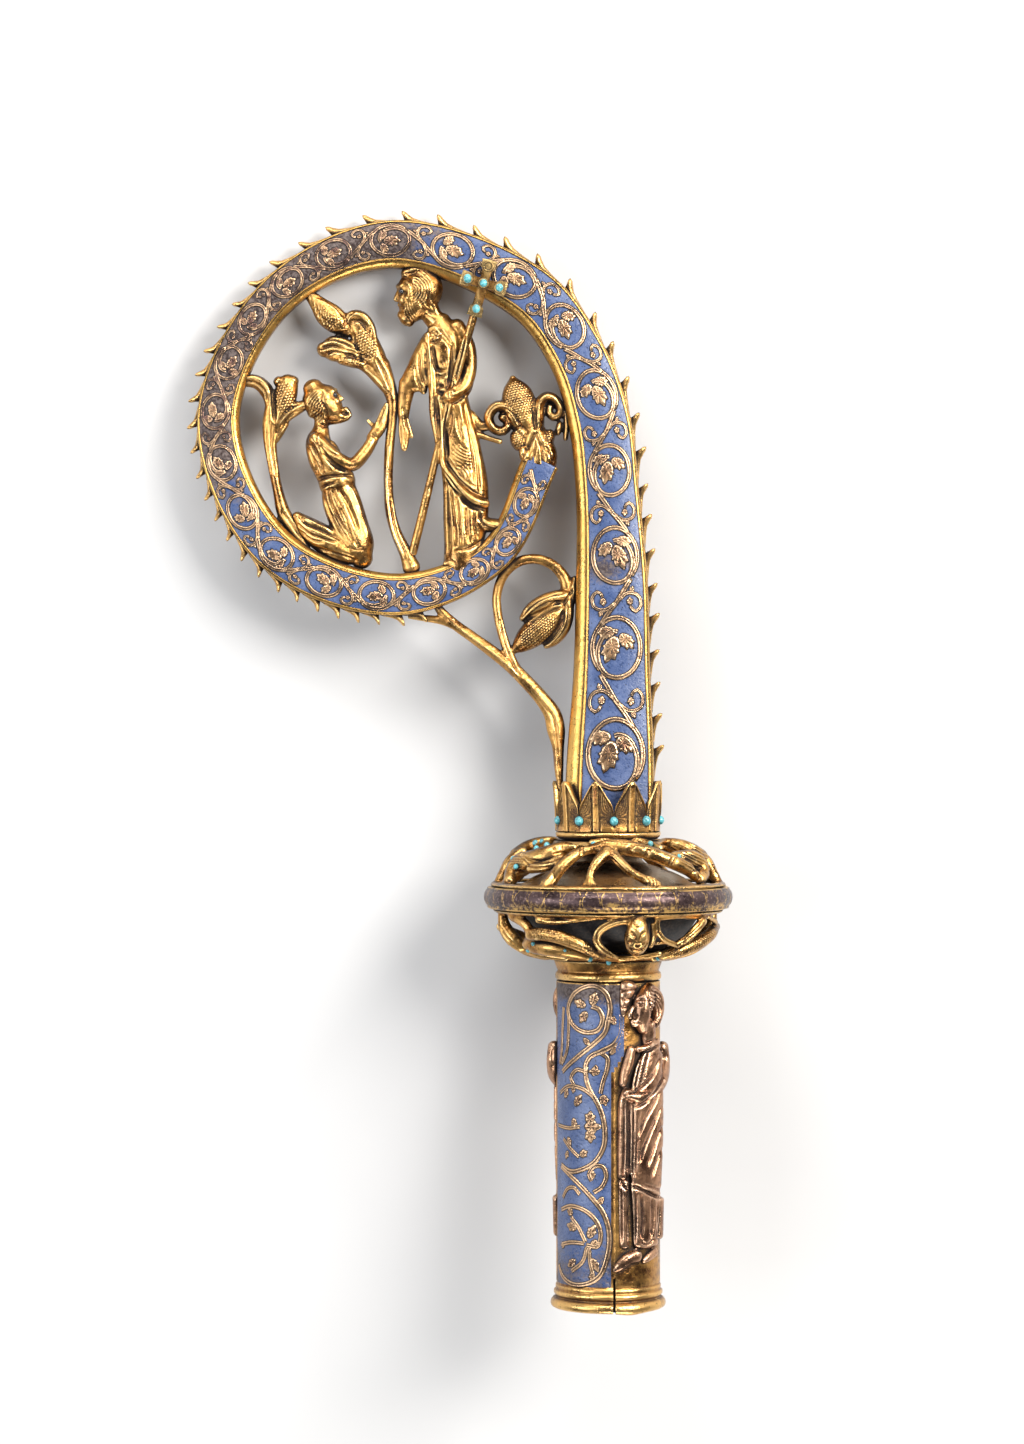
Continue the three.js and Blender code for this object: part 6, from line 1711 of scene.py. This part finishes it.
figureParts = onWall(
    [(10.2, 18.6, 0.4, 4.6, 1.4), (10.4, 26, 0.4, 5.2, 1.5), (10.2, 36, 0.4, 5.8, 1.6)],  # tunic
    [(4.2, 18.6, 0.2, 1.4, 1.1), (4, 27, 0.2, 1.4, 1.1), (4, 36, 0.3, 1.5, 1.2)],
    [(14, 20, 0, 2.4, 1.2), (14.2, 30, 0, 2.6, 1.3)],
    [(10.6, 34, 0.6, 5.4, 1.8), (10.2, 42, 0.7, 6.2, 2), (10.2, 50, 0.8, 6.4, 2.1),
     (10.4, 58, 0.9, 6.2, 2.2),
     (10.8, 65, 0.9, 5.4, 2.3), (11.8, 70, 0.8, 4.4, 2.2), (12, 74, 0.7, 3, 1.8)],  # mantle
    [(3.8, 38, 0.6, 1.6, 1.3), (3.9, 48, 0.7, 1.7, 1.4), (4.2, 58, 0.9, 1.7, 1.5), (4.8, 61, 1.2, 1.5, 1.5)],
    [(15.2, 72.4, 0.6, 2, 1.8), (15.4, 68, 0.8, 2.2, 2), (14.6, 63.6, 1.4, 2.2, 1.8),
     (11.6, 60.6, 2.2, 1.9, 1.4), (7.6, 59.6, 2.6, 1.6, 1.2), (4.8, 60.8, 2.3, 1.2, 1.1)],  # arm across
    [(6, 72.6, 0.8, 1.2, 1.2), (5.2, 69, 1, 1.5, 1.3), (4.3, 66.4, 1.2, 1.3, 1.2), (3.7, 63.4, 1.3, 1, 1.1)],
    [(8, 72.8, 1.6, 0.9, 1), (10.8, 73.4, 2.2, 0.9, 1), (13.4, 74.6, 1.6, 0.9, 0.9)],  # collar
    [(11, 74.4, 0.9, 2.2, 1.8), (10.8, 77.6, 1, 2.2, 1.9), (10.6, 79.6, 1.2, 2.3, 2)],  # neck
    [(9.2, 78.6, 1.6, 1.6, 1.6), (8.8, 80.6, 1.9, 2.4, 2.2), (9.2, 83.4, 2, 3, 2.8),
     (9.8, 86.2, 1.7, 3.1, 2.8), (10.6, 88.6, 1.2, 2.2, 2.2)],  # head
    [(12.6, 79.6, 1, 1.4, 1.8), (13.2, 83.2, 1, 1.8, 2.3), (12.8, 87, 1, 2, 2.3),
     (10.8, 89.6, 0.9, 1.6, 1.8)],
    [(6.4, 84.6, 3, 0.5, 0.6), (5.6, 82.8, 3.4, 0.6, 0.7), (5.6, 81.9, 3.4, 0.6, 0.6)],  # nose
    [(6.2, 80.7, 2.9, 0.6, 0.5), (7.4, 80.4, 3.2, 0.6, 0.5)],
                     [(6.5, 79.8, 2.8, 0.6, 0.5), (7.5, 79.6, 3, 0.5, 0.5)],
    [(5.4, 90.3, 0.2, 2.6, 1.6), (4.7, 87.6, 0.2, 2, 1.4), (4.1, 84.8, 0.2, 1.3, 1.2),
     (3.8, 82.4, 0.1, 0.7, 0.8)],
    [(7.8, 15.9, 0.8, 1.9, 1.3), (5, 15, 1.1, 1.6, 1.2), (2.6, 12.9, 1.1, 1.3, 1),
     (1.5, 11.9, 0.9, 0.7, 0.6)],
    [(12.6, 16.2, 0.3, 1.6, 1), (11, 15, 0.6, 1.2, 0.9), (9.6, 14.2, 0.7, 0.8, 0.7)])
figureStrokes = [
    *tool(0.45, -0.9, [(8.6, 72.6), (7.6, 67), (6.6, 61.6)],
          [(14, 69.8), (12.6, 66.2), (10, 63.4), (6.8, 61.4), (4, 60.2)],
          [(6.4, 58.6), (6.6, 50), (6.4, 42), (5.9, 36.6)], [(5.1, 58.6), (5.3, 48), (5, 37.6)],
          [(5.4, 34), (5.5, 26), (5.4, 19)]),
    *tool(0.4, -0.8, [(10.4, 71.6), (9.2, 66), (8.2, 62)],
          [(15, 64.2), (12.6, 60.6), (9, 57.6), (6.6, 56.8)],
          [(14.6, 61.4), (12.4, 57.4), (9.6, 53), (8, 49.2)],
          [(14.8, 56.6), (12.4, 51.8), (9.8, 46.2), (8.4, 42)], [(3.9, 59), (4, 48), (3.7, 38)],
          [(7.4, 33), (7.3, 25), (7, 19.6)], [(9, 32.4), (9.2, 25), (8.8, 20.4)],
          [(12, 31), (12.2, 25.4), (11.6, 20)]),
    *tool(0.4, -0.7, [(14.9, 50.8), (13, 46.2), (10.8, 40.6)], [(14.8, 44.8), (13.4, 41), (12, 37.4)],
          [(13.8, 30), (13.9, 25), (13.5, 20)]),
    *tool(0.35, -0.6, [(7.9, 56), (7.6, 46), (7.2, 38)], [(8.8, 19.6), (10.6, 18.6), (12.6, 19.8)],
          [(3.2, 34), (3.2, 27), (3.3, 20)], [(4.2, 17.2), (7, 17.6), (10, 17), (13, 17.8)],
          [(14.2, 72.8), (15.6, 70.6), (15.2, 67)], [(5.9, 85.9), (7, 86.2), (8.4, 86.8), (9.8, 86.6)]),
    *tool(0.5, -1, [(2.9, 36.3), (4.6, 34.8), (7.4, 34.8), (10.2, 33.4), (13.4, 31.6), (15, 30.8)]),
    *tool(0.4, -0.5, [(9.4, 35.4), (12.4, 34.2), (14.8, 32.8)]),
    *tool(0.35, -0.7, [(8.4, 71.6), (11, 72.4), (13.8, 73.6)]),
    *tool(0.35, -0.5, [(8.6, 73.8), (11, 74.6), (13.2, 75.6)]),
    *tool(0.4, -0.6, [(7.9, 85.8), (8.4, 85.2), (9.2, 85.4)]),
    *tool(0.3, -0.5, [(6.2, 80.3), (7.4, 80.1), (8.4, 80.4)], [(3.2, 86.8), (5, 86.6), (6.6, 86.9)],
          [(3.4, 84.4), (4.4, 84.2), (5.4, 84.5)]),
    *tool(0.35, -0.4, [(6.4, 82), (7.2, 81.7), (7.6, 82.4)]),
    *tool(0.45, -0.8, [(10.4, 88.4), (11.4, 85.6), (11.9, 82.4), (11.8, 79.4)]),
    *tool(0.3, -0.6, [(2.8, 88.9), (5.2, 89.2), (7.6, 89.2)]),
]
figurePatterns = [
    (hatchLift, (12.9, 85.8), (1.8, 4.6), 10, 0.85, 0.35, (9.4, 82.6)),
    (hatchLift, (8.4, 66.4), (1.6, 3.6), 12, 0.8, 0.2),
]


def makeSocketFigures():
    points, normals, faces = melt(figureParts, grain=figure["grain"], softening=3)
    lift = carvedLift(points[:, :2], figureStrokes, figurePatterns, (normals * awayFromAxis(points)).sum(1))
    points = points + normals * lift[:, None]
    radius = np.hypot(points[:, 0], points[:, 2])
    points[:, [0, 2]] *= (np.maximum(radius, socket["radius"] - 0.3) / radius)[:, None]
    for name, sign in (("right", 1), ("left", -1)):
        piece = makePiece("robed_figure_" + name, points * [sign, 1, sign], faces, "wornGilt")
        finishPiece(piece, "worn_gilt", "socket_figure_" + name)


makeSocketFigures()

# Floor, light and camera

stage = {"centre": (-26.9, 163.2), "away": 1080.0, "tall": 404.0, "sensor": 36.0, "floor": 3.0}


def makeStage():
    mesh = bpy.data.meshes.new("floor")
    half = stage["floor"] / 2
    mesh.from_pydata([(-half, -half, 0), (half, -half, 0), (half, half, 0), (-half, half, 0)], [],
                     [(0, 1, 2, 3)])
    floor = newObject("floor", mesh)
    material, tree, place, shader = newMaterial("floor")
    cloud = noiseOf(tree, place, 60, 2.0)
    plug(tree, shader, colour=mixColours(tree, cloud, (0.60, 0.60, 0.61), (0.66, 0.66, 0.665)),
         roughness=0.85)
    mesh.materials.append(material)
    floor.location.z = -0.0002


# Square lamp at a place given in the upright frame, in metres, aimed at the middle of the crook
def addLamp(name, place, size, power, colour):
    data = bpy.data.lights.new(name, "AREA")
    data.shape = "RECTANGLE"
    data.size, data.size_y = size
    data.energy = power
    data.color = colour
    lamp = newObject(name, data)
    lamp.location = place
    aim = Vector((0.0, 0.02, 0.03)) - Vector(place)
    lamp.rotation_euler = aim.to_track_quat("-Z", "Y").to_euler()


# Place, size, watts and colour of each lamp
lamps = {
    "key": ((0.75, 0.55, 0.85), (0.5, 0.7), 22.0, (1.0, 0.97, 0.92)),
    "fill": ((-0.9, 0.1, 0.7), (0.5, 0.9), 8.0, (0.92, 0.96, 1.0)),
    "top": ((-0.15, 0.95, 0.6), (0.9, 0.3), 9.0, (1.0, 0.99, 0.97)),
    "low": ((0.2, -0.9, 0.5), (0.7, 0.25), 5.0, (1.0, 0.96, 0.9)),
}
sky = {"colour": (0.75, 0.77, 0.8, 1), "strength": 0.22}


def makeLight():
    for name, values in lamps.items():
        addLamp(name, *values)
    world = bpy.data.worlds.new("studio")
    world.use_nodes = True
    world.node_tree.nodes["Background"].inputs[0].default_value = sky["colour"]
    world.node_tree.nodes["Background"].inputs[1].default_value = sky["strength"]
    bpy.context.scene.world = world


def makeCamera():
    x, y = stage["centre"]
    data = bpy.data.cameras.new("camera")
    data.sensor_fit = "VERTICAL"
    data.sensor_height = stage["sensor"]
    data.lens = stage["sensor"] * stage["away"] / stage["tall"]
    data.clip_start, data.clip_end = 0.05, 10
    camera = newObject("camera", data)
    facing = np.eye(4)
    facing[:3, :3] = turn
    facing[:3, 3] = toRow([[x, y, stage["away"]]])[0]
    camera.matrix_world = Matrix(facing.tolist())
    bpy.context.scene.camera = camera
    bpy.context.scene.view_settings.view_transform = "Standard"


makeStage()
makeLight()
makeCamera()
print("floor, lamps and camera ready")
